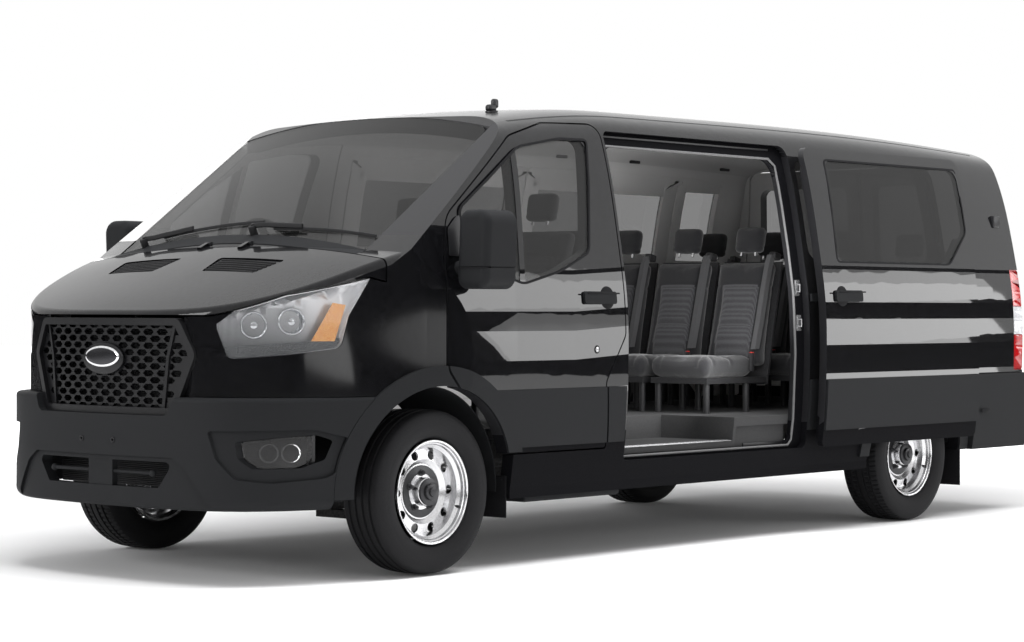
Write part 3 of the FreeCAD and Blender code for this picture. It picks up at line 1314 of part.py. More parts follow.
body_nodes = {
    "floor_pan": [floor_pan],
    "side_wall_left": [side_wall_left],
    "side_wall_right": [side_wall_right],
    "roof": [roof],
    "wings": both_sides(wing),
    "scuttle": [scuttle, cowl] + both_sides(front_liner),
    "dashboard": [dashboard],
    "steering_wheel": [steering_wheel],
    "windscreen": [windscreen],
    "side_glass": wall_glass[:1] + [mirrored(pane) for pane in wall_glass] + [right_glass, sliding_glass],
    "front_bumper": [bumper],
    "grille": [grille, badge],
    "headlamps": both_sides(headlamp),
    "fog_lamps": both_sides(fog_lamp),
    "tail_lamps": both_sides(tail_lamp),
    "rear_bumper": [rear_bumper],
    "sliding_door": [sliding_door],
    "sliding_door_trim": [sliding_trim, slider_handle],
    "door_track": [track_bar],
    "cladding": both_sides(wall_cladding_rear) + both_sides(pillar_cladding) + [mirrored(right_cladding_mid)]
        + both_sides(wing_flare) + both_sides(rear_flare),
    "front_seats": front_pads,
    "seat_row_2": rows[0],
    "seat_row_3": rows[1],
    "seat_row_4": rows[2],
    "seat_frames": seat_parts,
    "chassis_rails": [chassis],
    "engine": [engine],
    "rear_axle": [axle],
    "front_suspension": [front_suspension],
    "underbody": [tank, exhaust],
    "bonnet": [bonnet],
    "rear_door_left": [rear_door, hinge_doors],
    "rear_door_right": [mirrored(rear_door), mirrored(hinge_doors)],
    "rear_door_hinges": both_sides(hinge_walls),
    "rear_door_glass_left": [rear_glass],
    "rear_door_glass_right": [mirrored(rear_glass)],
}
door_trim = [door_cladding, door_flare, mirror, door_handle]
for side, name in ((1, "left"), (-1, "right")):
    flip = (lambda shape: shape) if side > 0 else mirrored
    body_nodes["front_door_" + name] = [flip(front_door)]
    body_nodes["front_door_glass_" + name] = [flip(door_glass)]
    body_nodes["front_door_trim_" + name] = [flip(piece) for piece in door_trim]
    body_nodes["knuckle_" + name] = [knuckle(side)]
    body_nodes["rim_front_" + name] = [rim(front_axle_x, front_track, side)]
    body_nodes["tyre_front_" + name] = [tyre(front_axle_x, front_track, side)]
    body_nodes["rim_rear_" + name] = [rim(rear_axle_x, rear_track, side)]
    body_nodes["tyre_rear_" + name] = [tyre(rear_axle_x, rear_track, side)]

os.makedirs("parts", exist_ok=True)
for name, shapes in body_nodes.items():
    solids = solids_of(shapes)
    Part.makeCompound(solids).exportStep("parts/" + name + ".step")
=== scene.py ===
import bpy
from math import atan2, cos, hypot, pi, radians, sin
from mathutils import Matrix, Vector


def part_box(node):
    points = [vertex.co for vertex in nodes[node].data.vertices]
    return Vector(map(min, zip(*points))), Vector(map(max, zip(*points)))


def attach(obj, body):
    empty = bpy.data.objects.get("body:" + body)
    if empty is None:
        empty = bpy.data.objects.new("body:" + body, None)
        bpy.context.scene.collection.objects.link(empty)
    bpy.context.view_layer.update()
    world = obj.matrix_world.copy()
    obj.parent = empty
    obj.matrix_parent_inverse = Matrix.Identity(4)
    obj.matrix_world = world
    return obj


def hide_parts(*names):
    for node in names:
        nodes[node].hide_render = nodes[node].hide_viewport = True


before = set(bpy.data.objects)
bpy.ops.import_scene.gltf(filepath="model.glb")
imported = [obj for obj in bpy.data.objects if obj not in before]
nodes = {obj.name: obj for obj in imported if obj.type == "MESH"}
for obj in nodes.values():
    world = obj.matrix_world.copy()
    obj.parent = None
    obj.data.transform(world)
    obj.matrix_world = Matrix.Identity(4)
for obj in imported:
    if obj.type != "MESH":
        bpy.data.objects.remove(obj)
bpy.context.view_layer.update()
scene = bpy.context.scene
scene.view_settings.view_transform = "Standard"
bpy.ops.object.select_all(action="DESELECT")

# Studio
# A pale floor that runs into a white surround, large soft lights overhead and
# long strip lights at the sides, with a low black screen round the horizon that
# only shows in polished surfaces. The camera is low, ahead and to the left.
bpy.ops.mesh.primitive_circle_add(vertices=96, radius=60.0, fill_type="NGON", location=(0, 0, -0.0005))
floor = bpy.context.object
floor.name = "studio_floor"
bpy.ops.mesh.primitive_cylinder_add(vertices=96, radius=16.5, depth=2.6, end_fill_type="NOTHING", location=(0, 0, 1.3))
horizon = bpy.context.object
horizon.name = "horizon_screen"
horizon.visible_camera = False
horizon.visible_diffuse = False
horizon.visible_transmission = False
horizon.visible_shadow = False


def shader(name, colour, roughness, **inputs):
    """A new material with its main shader, its nodes and its links."""
    material = bpy.data.materials.new(name)
    material.use_nodes = True
    tree = material.node_tree
    main = tree.nodes["Principled BSDF"]
    main.inputs["Base Color"].default_value = (*colour, 1.0)
    main.inputs["Roughness"].default_value = roughness
    for key, value in inputs.items():
        main.inputs[key.replace("_", " ")].default_value = value
    return material, tree, main


def worked(tree, operation, first, second):
    """The result of one sum on two values or sockets."""
    node = tree.nodes.new("ShaderNodeMath")
    node.operation = operation
    for socket, value in zip(node.inputs, (first, second)):
        if isinstance(value, (int, float)):
            socket.default_value = value
        else:
            tree.links.new(value, socket)
    return node.outputs[0]


def seen_directly(tree):
    """One where a ray comes from the camera, a polished finish or through glass."""
    path = tree.nodes.new("ShaderNodeLightPath")
    either = worked(tree, "MAXIMUM", path.outputs["Is Camera Ray"], path.outputs["Is Transmission Ray"])
    return worked(tree, "MAXIMUM", either, path.outputs["Is Glossy Ray"])


def between(tree, value, low, high, from_value=0.0, to_value=1.0, smooth=False):
    """A value that runs from one number to another between two limits."""
    node = tree.nodes.new("ShaderNodeMapRange")
    node.interpolation_type = "SMOOTHSTEP" if smooth else "LINEAR"
    tree.links.new(value, node.inputs["Value"])
    node.inputs["From Min"].default_value = low
    node.inputs["From Max"].default_value = high
    node.inputs["To Min"].default_value = from_value
    node.inputs["To Max"].default_value = to_value
    return node.outputs["Result"]


def places(tree):
    """The object coordinates, whole and as separate X, Y and Z."""
    coords = tree.nodes.new("ShaderNodeTexCoord")
    split = tree.nodes.new("ShaderNodeSeparateXYZ")
    tree.links.new(coords.outputs["Object"], split.inputs[0])
    return coords.outputs["Object"], split.outputs


floor_white, tree, main = shader("floor_white", (0.90, 0.90, 0.905), 0.9, Specular_IOR_Level=0.0)
whole, (along, across, above) = places(tree)
length = tree.nodes.new("ShaderNodeVectorMath")
length.operation = "LENGTH"
tree.links.new(whole, length.inputs[0])
glow = between(tree, length.outputs["Value"], 3.6, 7.5, 0.02, 1.0, smooth=True)
main.inputs["Emission Color"].default_value = (1.0, 1.0, 1.0, 1.0)
tree.links.new(worked(tree, "MULTIPLY", glow, seen_directly(tree)), main.inputs["Emission Strength"])
floor.data.materials.append(floor_white)
screen_black, tree, main = shader("screen_black", (0.0, 0.0, 0.0), 1.0, Specular_IOR_Level=0.0)
horizon.data.materials.append(screen_black)

world = bpy.data.worlds.new("studio")
scene.world = world
world.use_nodes = True
tree = world.node_tree
background = tree.nodes["Background"]
background.inputs["Color"].default_value = (1.0, 1.0, 1.0, 1.0)
background.inputs["Strength"].default_value = 0.45
plain_white = tree.nodes.new("ShaderNodeBackground")
plain_white.inputs["Color"].default_value = (1.0, 1.0, 1.0, 1.0)
plain_white.inputs["Strength"].default_value = 1.0
mix = tree.nodes.new("ShaderNodeMixShader")
tree.links.new(seen_directly(tree), mix.inputs[0])
tree.links.new(background.outputs[0], mix.inputs[1])
tree.links.new(plain_white.outputs[0], mix.inputs[2])
tree.links.new(mix.outputs[0], tree.nodes["World Output"].inputs["Surface"])


def soft_light(name, place, aim, width, height, power):
    """A large soft lamp at a place, turned to its aim."""
    bpy.ops.object.light_add(type="AREA", location=place)
    lamp = bpy.context.object
    lamp.name = name
    lamp.data.shape = "RECTANGLE"
    lamp.data.size = width
    lamp.data.size_y = height
    lamp.data.energy = power
    direction = Vector(aim) - Vector(place)
    lamp.rotation_euler = direction.to_track_quat("-Z", "Y").to_euler()
    return lamp


top_light = soft_light("top_softbox", (0.8, 1.9, 6.2), (0.0, 0.3, 0.6), 8.0, 3.0, 720)
top_light.visible_glossy = False
for side in (1, -1):
    soft_light("low_strip", (-9.5, side * 8.2, 2.68), (-9.5, 0.0, 2.68), 12.0, 1.45, 215)
    soft_light("high_strip", (-9.5, side * 8.2, 3.60), (-9.5, 0.0, 3.60), 12.0, 0.4, 34)
soft_light("doorway_fill", (2.5, 10.5, 2.2), (-0.8, 0.0, 1.0), 5.0, 2.4, 80)
cabin_light = soft_light("doorway_reflector", (-0.02, 0.88, 1.10), (-0.45, -0.9, 1.75), 1.1, 0.8, 18)
cabin_light.visible_glossy = False
cabin_light.visible_camera = False
soft_light("front_softbox", (10.0, -2.0, 3.6), (1.5, 0.0, 0.8), 4.0, 2.4, 260)

camera_place = Vector((9.791, 8.195, 1.136))
camera_yaw, camera_pitch, camera_roll = -2.4266, -0.0055, 0.0022
look = Vector((cos(camera_pitch) * cos(camera_yaw), cos(camera_pitch) * sin(camera_yaw), sin(camera_pitch)))
level = look.cross(Vector((0, 0, 1))).normalized()
upward = level.cross(look)
right = cos(camera_roll) * level + sin(camera_roll) * upward
upward = right.cross(look)
bpy.ops.object.camera_add(location=camera_place)
camera = bpy.context.object
camera.data.lens = 88.57
camera.data.sensor_width = 36.0
camera.matrix_world = Matrix.Translation(camera_place) @ Matrix((right, upward, -look)).transposed().to_4x4()
scene.camera = camera
bpy.ops.object.select_all(action="DESELECT")

# Body panels
# Pressed and welded steel in gloss black with a clear coat, creased along the
# sides at the waist. The cabin side carries pale moulded trim, and the edges of
# the openings are bare of trim and satin black.
def raised(tree, main, value, strength, distance):
    """Bumps on the surface that follow a value."""
    bump = tree.nodes.new("ShaderNodeBump")
    bump.inputs["Strength"].default_value = strength
    bump.inputs["Distance"].default_value = distance
    tree.links.new(value, bump.inputs["Height"])
    tree.links.new(bump.outputs["Normal"], main.inputs["Normal"])
    return bump


def grain(tree, main, scale, depth, detail=2.0, distance=0.001):
    """Fine bumps on the surface, sized by object coordinates. Returns the noise behind them."""
    coords = tree.nodes.new("ShaderNodeTexCoord")
    noise = tree.nodes.new("ShaderNodeTexNoise")
    noise.inputs["Scale"].default_value = scale
    noise.inputs["Detail"].default_value = detail
    tree.links.new(coords.outputs["Object"], noise.inputs["Vector"])
    raised(tree, main, noise.outputs["Fac"], depth, distance)
    return noise.outputs["Fac"]


def mottle(tree, main, value, dark, light, low=0.35, high=0.65):
    """Colour that runs from dark to light with a value."""
    ramp = tree.nodes.new("ShaderNodeValToRGB")
    ramp.color_ramp.elements[0].position = low
    ramp.color_ramp.elements[0].color = (*dark, 1.0)
    ramp.color_ramp.elements[1].position = high
    ramp.color_ramp.elements[1].color = (*light, 1.0)
    tree.links.new(value, ramp.inputs["Fac"])
    tree.links.new(ramp.outputs["Color"], main.inputs["Base Color"])


def mottled(name, roughness, scale, depth, dark, light, detail=2.0, distance=0.001, **inputs):
    """A new finish with a fine grain in its surface and in its colour."""
    material, tree, main = shader(name, light, roughness, **inputs)
    mottle(tree, main, grain(tree, main, scale, depth, detail, distance), dark, light)
    return material


def creased(material, steps, fade_from=1.50, fade_to=1.95, soft=False):
    """Long pressed creases along the side: (low z, high z, metres in or out) for each slope."""
    tree = material.node_tree
    main = tree.nodes["Principled BSDF"]
    whole, (along, across, above) = places(tree)
    lowered = worked(tree, "ADD", above, between(tree, along, 0.2, 1.1, 0.0, 0.048))
    height = 0.0
    for low, high, out in steps:
        height = worked(tree, "ADD", height, between(tree, lowered, low, high, 0.0, out, soft))
    height = worked(tree, "MULTIPLY", height, between(tree, along, fade_from, fade_to, 1.0, 0.0))
    bump = raised(tree, main, height, 1.0, 1.0)
    tree.links.new(bump.outputs["Normal"], main.inputs["Coat Normal"])


def gloss_black(name, coat_weight=1.0, coat_roughness=0.02):
    """Gloss black paint under a clear coat."""
    return mottled(name, 0.30, 45.0, 0.02, (0.003, 0.003, 0.0035), (0.006, 0.006, 0.007),
                   Coat_Weight=coat_weight, Coat_Roughness=coat_roughness, Specular_IOR_Level=0.02)


paint = gloss_black("gloss_black_paint")
side_paint = gloss_black("creased_black_paint")
creased(side_paint, [
    (0.780, 0.808, -0.0055), (0.950, 1.080, -0.0150), (1.080, 1.165, 0.0090), (1.330, 1.350, 0.0030)])
bonnet_paint = gloss_black("bonnet_black_paint", 0.60, 0.03)
roof_paint = gloss_black("roof_black_paint", 1.0, 0.22)
wing_paint = gloss_black("wing_black_paint", 1.0, 0.09)
creased(wing_paint, [(0.800, 1.250, -0.030)], 2.05, 2.75, True)
rocker_black = mottled("rocker_black", 0.6, 200.0, 0.2,
    (0.004, 0.004, 0.005), (0.007, 0.007, 0.008), Specular_IOR_Level=0.03)
trim_grey = mottled("pale_trim", 0.7, 420.0, 0.25,
    (0.58, 0.575, 0.57), (0.66, 0.655, 0.65), Specular_IOR_Level=0.3)
headliner = mottled("woven_headliner", 0.95, 900.0, 0.5,
    (0.46, 0.455, 0.45), (0.58, 0.575, 0.57), Sheen_Weight=0.2)
satin_black = mottled("satin_black", 0.38, 300.0, 0.1, (0.010, 0.010, 0.011), (0.016, 0.016, 0.018))


def coat(name, *materials):
    """Puts the materials in a CAD node's slots."""
    data = nodes[name].data
    data.materials.clear()
    for material in materials:
        data.materials.append(material)
    return nodes[name]


section_heights = [(0.340, 0.985), (0.580, 1.016), (0.900, 1.029), (1.190, 1.019), (1.420, 0.985),
                   (1.700, 0.935), (1.900, 0.886), (1.990, 0.846)]


def read_off(section, z):
    """The measure at a height, from a section listed as pairs of a height and a measure."""
    for (low, first), (high, second) in zip(section, section[1:]):
        if z <= high:
            return first + (second - first) * (z - low) / (high - low)
    return section[-1][1]


def half_width(z):
    """Half the body's width at a height."""
    return read_off(section_heights, z)


def coat_by_side(name, out, outer, inner, edge, limit=0.45):
    """Gives a panel's outer faces, cabin faces and edges their own materials."""
    node = coat(name, outer, inner, edge, rocker_black)
    direction = Vector(out)
    for face in node.data.polygons:
        facing = face.normal.dot(direction)
        face.material_index = 0 if facing > limit else 1 if facing < -limit else 2
        highest = max(node.data.vertices[corner].co.z for corner in face.vertices)
        low_wall = highest < 0.60 and abs(out[1]) > 0 and facing > -limit
        recessed = face.center.z < 1.95 and abs(face.center.y) < half_width(face.center.z) - 0.018
        if name == "side_wall_right" and abs(facing) <= limit and recessed and face.center.z > 0.62:
            face.material_index = 1
        if low_wall or (name == "side_wall_left" and facing > 0.0 and recessed and face.center.x < 0.76):
            face.material_index = 3


sides = ((1, "left"), (-1, "right"))
for side, name in sides:
    coat_by_side("side_wall_" + name, (0, side, 0), side_paint, trim_grey, satin_black, 0.3)
    coat_by_side("front_door_" + name, (0, side, 0), side_paint, trim_grey, satin_black, 0.3)
    coat_by_side("rear_door_" + name, (-1, 0, 0), paint, trim_grey, satin_black, 0.3)
coat_by_side("sliding_door", (0, 1, 0), side_paint, trim_grey, satin_black, 0.3)
coat_by_side("roof", (0, 0, 1), roof_paint, headliner, satin_black, 0.15)
coat("wings", wing_paint)
coat("bonnet", bonnet_paint)

# Bumpers and cladding
# Bumpers, side cladding, arch flares and sills are moulded in dark grey plastic
# with a fine leather grain, clipped on over the steel.
plastic = mottled("dark_grained_plastic", 0.58, 700.0, 0.35,
    (0.011, 0.0115, 0.0125), (0.019, 0.0195, 0.021), Specular_IOR_Level=0.10)
for name in ["front_bumper", "rear_bumper", "cladding", "front_door_trim_left", "front_door_trim_right",
             "sliding_door_trim", "door_track", "scuttle"]:
    coat(name, plastic)


# Grille and badge
# The mesh is moulded satin black with a raised frame. A plain oval badge with a
# bright rim stands on a gloss boss in its middle, under a thin slot at the lip.
grille_black = mottled("grille_black", 0.33, 300.0, 0.08,
    (0.006, 0.006, 0.007), (0.011, 0.011, 0.012), Specular_IOR_Level=0.25)
coat("grille", grille_black)
chrome = mottled("bright_chrome", 0.08, 60.0, 0.01, (0.72, 0.72, 0.73), (0.82, 0.82, 0.83), Metallic=1.0)
badge_grey = mottled("badge_face", 0.25, 500.0, 0.05, (0.025, 0.025, 0.028), (0.04, 0.04, 0.044), Metallic=0.7)


def oval(x, z, half_width, half_height, depth, edge, vertices=64):
    """A shallow oval plate facing forward."""
    bpy.ops.object.select_all(action="DESELECT")
    bpy.ops.mesh.primitive_cylinder_add(
        vertices=vertices, radius=1.0, depth=depth, location=(x, 0.0, z), rotation=(0.0, pi / 2, 0.0))
    piece = bpy.context.object
    piece.scale = (half_height, half_width, 1.0)
    bpy.ops.object.transform_apply()
    modified(piece, "BEVEL", width=edge, segments=3, limit_method="ANGLE", angle_limit=0.9)
    return piece


def dished(piece, wanted, border, step):
    """Insets the wanted faces and moves them by a step, which leaves a border round them."""
    for face in piece.data.polygons:
        face.select = wanted(face)
    bpy.context.view_layer.objects.active = piece
    bpy.ops.object.mode_set(mode="EDIT")
    bpy.ops.mesh.inset(thickness=border)
    bpy.ops.mesh.extrude_region_move(TRANSFORM_OT_translate={"value": step})
    bpy.ops.object.mode_set(mode="OBJECT")
    return piece


def modified(piece, kind, **settings):
    """Adds one modifier, set as named, and applies it."""
    modifier = piece.modifiers.new(kind.lower(), kind)
    for key, value in settings.items():
        setattr(modifier, key, value)
    bpy.context.view_layer.objects.active = piece
    bpy.ops.object.modifier_apply(modifier=modifier.name)
    return piece


def fitted(piece, name, material, body, smooth=40.0):
    """Names a finished piece, gives it its material and smooth faces, and lets it ride on its body."""
    piece.name = name
    piece.data.materials.clear()
    piece.data.materials.append(material)
    bpy.ops.object.select_all(action="DESELECT")
    piece.select_set(True)
    bpy.context.view_layer.objects.active = piece
    bpy.ops.object.shade_smooth_by_angle(angle=radians(smooth))
    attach(piece, body)
    return piece


badge_rim = oval(2.9635, 0.927, 0.108, 0.0445, 0.008, 0.003)
bpy.ops.object.mode_set(mode="EDIT")
bpy.ops.mesh.select_all(action="DESELECT")
bpy.ops.object.mode_set(mode="OBJECT")
dished(badge_rim, lambda face: face.normal.x > 0.95, 0.008, (-0.004, 0.0, 0.0))
fitted(badge_rim, "badge_rim", chrome, "body_shell")
badge_face = oval(2.9655, 0.927, 0.099, 0.0365, 0.005, 0.0015)
fitted(badge_face, "badge_face", badge_grey, "body_shell")

boss = oval(2.957, 0.918, 0.128, 0.066, 0.008, 0.003)
fitted(boss, "badge_boss", grille_black, "body_shell")


# Radiator
# A finned metal core in a black frame, bolted upright behind the grille and the
# bumper's intake.
core_grey, tree, main = shader("radiator_core", (0.02, 0.02, 0.021), 0.6, Specular_IOR_Level=0.1)
fins = tree.nodes.new("ShaderNodeTexWave")
fins.bands_direction = "Z"
fins.inputs["Scale"].default_value = 40.0
coords = tree.nodes.new("ShaderNodeTexCoord")
tree.links.new(coords.outputs["Object"], fins.inputs["Vector"])
raised(tree, main, fins.outputs["Fac"], 1.0, 0.002)


def block(low, high, edge=0.003, segments=2):
    """A moulded block between two corners, its edges rounded."""
    bpy.ops.object.select_all(action="DESELECT")
    middle = [(a + b) / 2 for a, b in zip(low, high)]
    bpy.ops.mesh.primitive_cube_add(size=1.0, location=middle, scale=[b - a for a, b in zip(low, high)])
    bpy.ops.object.transform_apply()
    piece = bpy.context.object
    bpy.ops.object.mode_set(mode="EDIT")
    bpy.ops.mesh.select_all(action="SELECT")
    bpy.ops.mesh.bevel(offset=edge, segments=segments, affect="EDGES")
    bpy.ops.object.mode_set(mode="OBJECT")
    return piece


radiator = block((2.722, -0.530, 0.375), (2.748, 0.530, 1.065), 0.006)
dished(radiator, lambda face: face.normal.x > 0.95, 0.035, (-0.006, 0.0, 0.0))
fitted(radiator, "radiator", core_grey, "body_shell")

# Plate fixings and bonnet vents
# Two rubber grommets line the number plate's holes, and a slatted black insert
# lies in each of the bonnet's two shallow vents.


def joined(pieces):
    """Several meshes made one."""
    bpy.ops.object.select_all(action="DESELECT")
    for piece in pieces:
        piece.select_set(True)
    bpy.context.view_layer.objects.active = pieces[0]
    if len(pieces) > 1:
        bpy.ops.object.join()
    return bpy.context.object


def ring_of(centre, axis, radius, thickness):
    """A round bright or black ring."""
    bpy.ops.object.select_all(action="DESELECT")
    turn = Vector(axis).to_track_quat("Z", "Y").to_euler()
    bpy.ops.mesh.primitive_torus_add(
        major_segments=48, minor_segments=10, major_radius=radius, minor_radius=thickness,
        location=centre, rotation=turn)
    bpy.ops.object.transform_apply()
    return bpy.context.object


def cut_panel(corners, radius=0.0, segments=4):
    """A flat panel in the XY plane, trimmed from a sheet along each side of its outline, corners rounded."""
    bpy.ops.object.select_all(action="DESELECT")
    middle_u = sum(u for u, v in corners) / len(corners)
    middle_v = sum(v for u, v in corners) / len(corners)
    bpy.ops.mesh.primitive_plane_add(size=8.0, location=(middle_u, middle_v, 0.0))
    panel = bpy.context.object
    bpy.ops.object.transform_apply()
    bpy.ops.object.mode_set(mode="EDIT")
    for (u, v), (next_u, next_v) in zip(corners, corners[1:] + corners[:1]):
        out = (next_v - v, u - next_u, 0.0)
        if out[0] * (middle_u - u) + out[1] * (middle_v - v) > 0:
            out = (-out[0], -out[1], 0.0)
        bpy.ops.mesh.select_all(action="SELECT")
        bpy.ops.mesh.bisect(plane_co=(u, v, 0.0), plane_no=out, clear_outer=True)
    bpy.ops.mesh.select_all(action="SELECT")
    bpy.ops.mesh.remove_doubles(threshold=0.0001)
    if radius > 0.0:
        bpy.ops.mesh.bevel(affect="VERTICES", offset=radius, segments=segments)
    bpy.ops.object.mode_set(mode="OBJECT")
    return panel


def stood(panel, plane, place):
    """Turns a flat panel into the side, front or plan plane and brings it to its place."""
    if plane == "side":
        panel.matrix_world = Matrix(((1, 0, 0, 0), (0, 0, 1, place), (0, 1, 0, 0), (0, 0, 0, 1)))
    elif plane == "front":
        panel.matrix_world = Matrix(((0, 0, 1, place), (1, 0, 0, 0), (0, 1, 0, 0), (0, 0, 0, 1)))
    else:
        panel.matrix_world = Matrix.Translation((0.0, 0.0, place))
    bpy.context.view_layer.objects.active = panel
    panel.select_set(True)
    bpy.ops.object.transform_apply()
    return panel


def sliced(panel, direction, low, high, step):
    """Adds cuts across a panel, so that it can follow a curved skin."""
    axis = Vector(direction)
    bpy.ops.object.mode_set(mode="EDIT")
    place = low + step
    while place < high:
        bpy.ops.mesh.select_all(action="SELECT")
        bpy.ops.mesh.bisect(plane_co=axis * place, plane_no=axis)
        place += step
    bpy.ops.mesh.select_all(action="DESELECT")
    bpy.ops.object.mode_set(mode="OBJECT")
    return panel


def laid_on(panel, skin, axis, offset):
    """Brings a panel onto a CAD skin along one axis, standing off it a little."""
    settings = {"use_project_" + axis: True}
    return modified(panel, "SHRINKWRAP", target=nodes[skin], wrap_method="PROJECT", offset=offset,
                    use_negative_direction=True, use_positive_direction=True, **settings)


def thick(panel, depth, offset=0.0, edge=0.0):
    """Gives a panel its thickness and breaks its edges."""
    modified(panel, "SOLIDIFY", thickness=depth, offset=offset)
    if edge > 0.0:
        modified(panel, "BEVEL", width=edge, segments=2, limit_method="ANGLE", angle_limit=0.6)
    return panel


def rod(points, radius, flat=None, sides=3):
    """A bent round or flat bar along some points, closed at its ends."""
    bpy.ops.object.select_all(action="DESELECT")
    line = bpy.data.curves.new("bar", "CURVE")
    line.dimensions = "3D"
    spline = line.splines.new("POLY")
    spline.points.add(len(points) - 1)
    for point, place in zip(spline.points, points):
        point.co = (*place, 1.0)
    if flat:
        line.extrude = flat
    line.bevel_depth = radius
    line.bevel_resolution = sides
    line.use_fill_caps = True
    piece = bpy.data.objects.new("bar", line)
    scene.collection.objects.link(piece)
    piece.select_set(True)
    bpy.context.view_layer.objects.active = piece
    bpy.ops.object.convert(target="MESH")
    return bpy.context.object


def skin_point(node, start, direction):
    """Where a straight line meets a CAD node, and which way the skin faces there."""
    found, place, facing, number = nodes[node].ray_cast(Vector(start), Vector(direction).normalized())
    return (place, facing) if found else (Vector(start), Vector((0, 0, 1)))


grommets = [ring_of((2.991, y, 0.583), (1, 0, 0), 0.0088, 0.0036) for y in (-0.1, 0.1)]
fitted(joined(grommets), "plate_grommets", grille_black, "body_shell")
for side, side_name in sides:
    outline = [(2.549, 0.166), (2.417, 0.131), (2.405, 0.506), (2.537, 0.464)]
    insert = stood(cut_panel([(x, y * side) for x, y in outline], 0.012, 3), "plan", 1.5)
    sliced(insert, (0, 1, 0), 0.12 if side > 0 else -0.52, 0.52 if side > 0 else -0.12, 0.06)
    laid_on(insert, "bonnet", "z", 0.004)
    thick(insert, 0.003, 1.0)
    slats = [insert]
    for step in range(6):
        x = 2.430 + 0.020 * step
        y_in, y_out = 0.150 + 0.07 * (x - 2.417), 0.492 - 0.32 * (x - 2.405)
        line = []
        for part in range(5):
            y = side * (y_in + (y_out - y_in) * part / 4)
            place, facing = skin_point("bonnet", (x, y, 2.5), (0, 0, -1))
            line.append(place + Vector((0.0, 0.0, 0.008)))
        slats.append(rod(line, 0.0025, 0.004, 2))
    fitted(joined(slats), "bonnet_vent_" + side_name, grille_black, "bonnet")

# Headlamps
# Each lamp is a deep housing behind a clear moulded cover, with two round
# reflectors over a black bezel, a fluted back and an amber corner lens. The
# back is painted with light and shade: its colour runs from near black low at
# the front to bright silver high at the rear, painted shade under a painted highlight.
fluted, tree, main = shader("fluted_reflector", (0.62, 0.63, 0.65), 0.16, Metallic=0.9)
whole, (along, across, above) = places(tree)
ribs = tree.nodes.new("ShaderNodeTexWave")
ribs.bands_direction = "DIAGONAL"
ribs.inputs["Scale"].default_value = 22.0
ribs.inputs["Distortion"].default_value = 0.0
turned = tree.nodes.new("ShaderNodeMapping")
turned.inputs["Scale"].default_value = (1.0, -1.0, 0.0)
tree.links.new(whole, turned.inputs["Vector"])
tree.links.new(turned.outputs["Vector"], ribs.inputs["Vector"])
raised(tree, main, ribs.outputs["Fac"], 0.5, 0.004)


def see_through(name, colour, roughness, alpha, ior, scale, depth):
    """A clear or tinted moulding or pane with a slight ripple."""
    material, tree, main = shader(name, colour, roughness, Alpha=alpha, IOR=ior)
    material.surface_render_method = "BLENDED"
    grain(tree, main, scale, depth)
    return material


lamp_cover = see_through("clear_lamp_cover", (0.30, 0.31, 0.32), 0.02, 0.16, 1.6, 40.0, 0.01)
smoked_cover = see_through("smoked_lamp_cover", (0.012, 0.012, 0.013), 0.04, 0.55, 1.5, 40.0, 0.01)
amber = mottled("amber_lens", 0.12, 220.0, 0.5,
    (0.78, 0.26, 0.02), (0.95, 0.46, 0.08), detail=0.0, distance=0.002, Coat_Weight=0.5)
bezel_black = mottled("lamp_bezel_black", 0.22, 300.0, 0.06,
    (0.009, 0.009, 0.010), (0.016, 0.016, 0.017), Specular_IOR_Level=0.4)


# Painted light and shade: the housing's colour runs by height and depth from near black low at the front to bright
# silver high at the rear.
housing_painted_light, tree, main = shader("headlamp_housing_painted_light_and_shade", (0.20, 0.20, 0.21), 0.30, Metallic=0.6)
whole, (along, across, above) = places(tree)
shade = between(tree, worked(tree, "ADD", above, worked(tree, "MULTIPLY", along, -0.28)), 0.18, 0.44)
mottle(tree, main, shade, (0.035, 0.035, 0.038), (0.78, 0.78, 0.80), 0.0, 1.0)


def faces_of(name, wanted):
    """A new piece made of the faces of a CAD node that pass a test, welded together."""
    bpy.ops.object.select_all(action="DESELECT")
    piece = bpy.data.objects.new("copied", nodes[name].data.copy())
    scene.collection.objects.link(piece)
    bpy.context.view_layer.objects.active = piece
    piece.select_set(True)
    for corner in piece.data.vertices:
        corner.select = False
    for edge in piece.data.edges:
        edge.select = False
    for face in piece.data.polygons:
        face.select = not wanted(face)
    bpy.ops.object.mode_set(mode="EDIT")
    bpy.ops.mesh.select_mode(type="FACE")
    bpy.ops.mesh.delete(type="FACE")
    bpy.ops.mesh.select_all(action="SELECT")
    bpy.ops.mesh.remove_doubles(threshold=0.00005)
    bpy.ops.mesh.select_all(action="DESELECT")
    bpy.ops.object.mode_set(mode="OBJECT")
    return piece


def bowl(centre, out, radius, depth):
    """A round reflector: a dome cut from a ball, turned to face out, with a thin wall."""
    bpy.ops.object.select_all(action="DESELECT")
    bpy.ops.mesh.primitive_uv_sphere_add(segments=32, ring_count=16, radius=1.0, location=(0, 0, 0))
    piece = bpy.context.object
    bpy.ops.object.mode_set(mode="EDIT")
    bpy.ops.mesh.select_all(action="SELECT")
    bpy.ops.mesh.bisect(plane_co=(0, 0, 0), plane_no=(0, 0, 1), clear_outer=True)
    bpy.ops.mesh.select_all(action="SELECT")
    bpy.ops.mesh.flip_normals()
    bpy.ops.object.mode_set(mode="OBJECT")
    turn = Vector(out).to_track_quat("Z", "Y").to_matrix().to_4x4()
    piece.matrix_world = Matrix.Translation(centre) @ turn @ Matrix.Diagonal((radius, radius, depth, 1.0))
    bpy.ops.object.transform_apply()
    modified(piece, "SOLIDIFY", thickness=0.0015, offset=-1.0)
    return piece


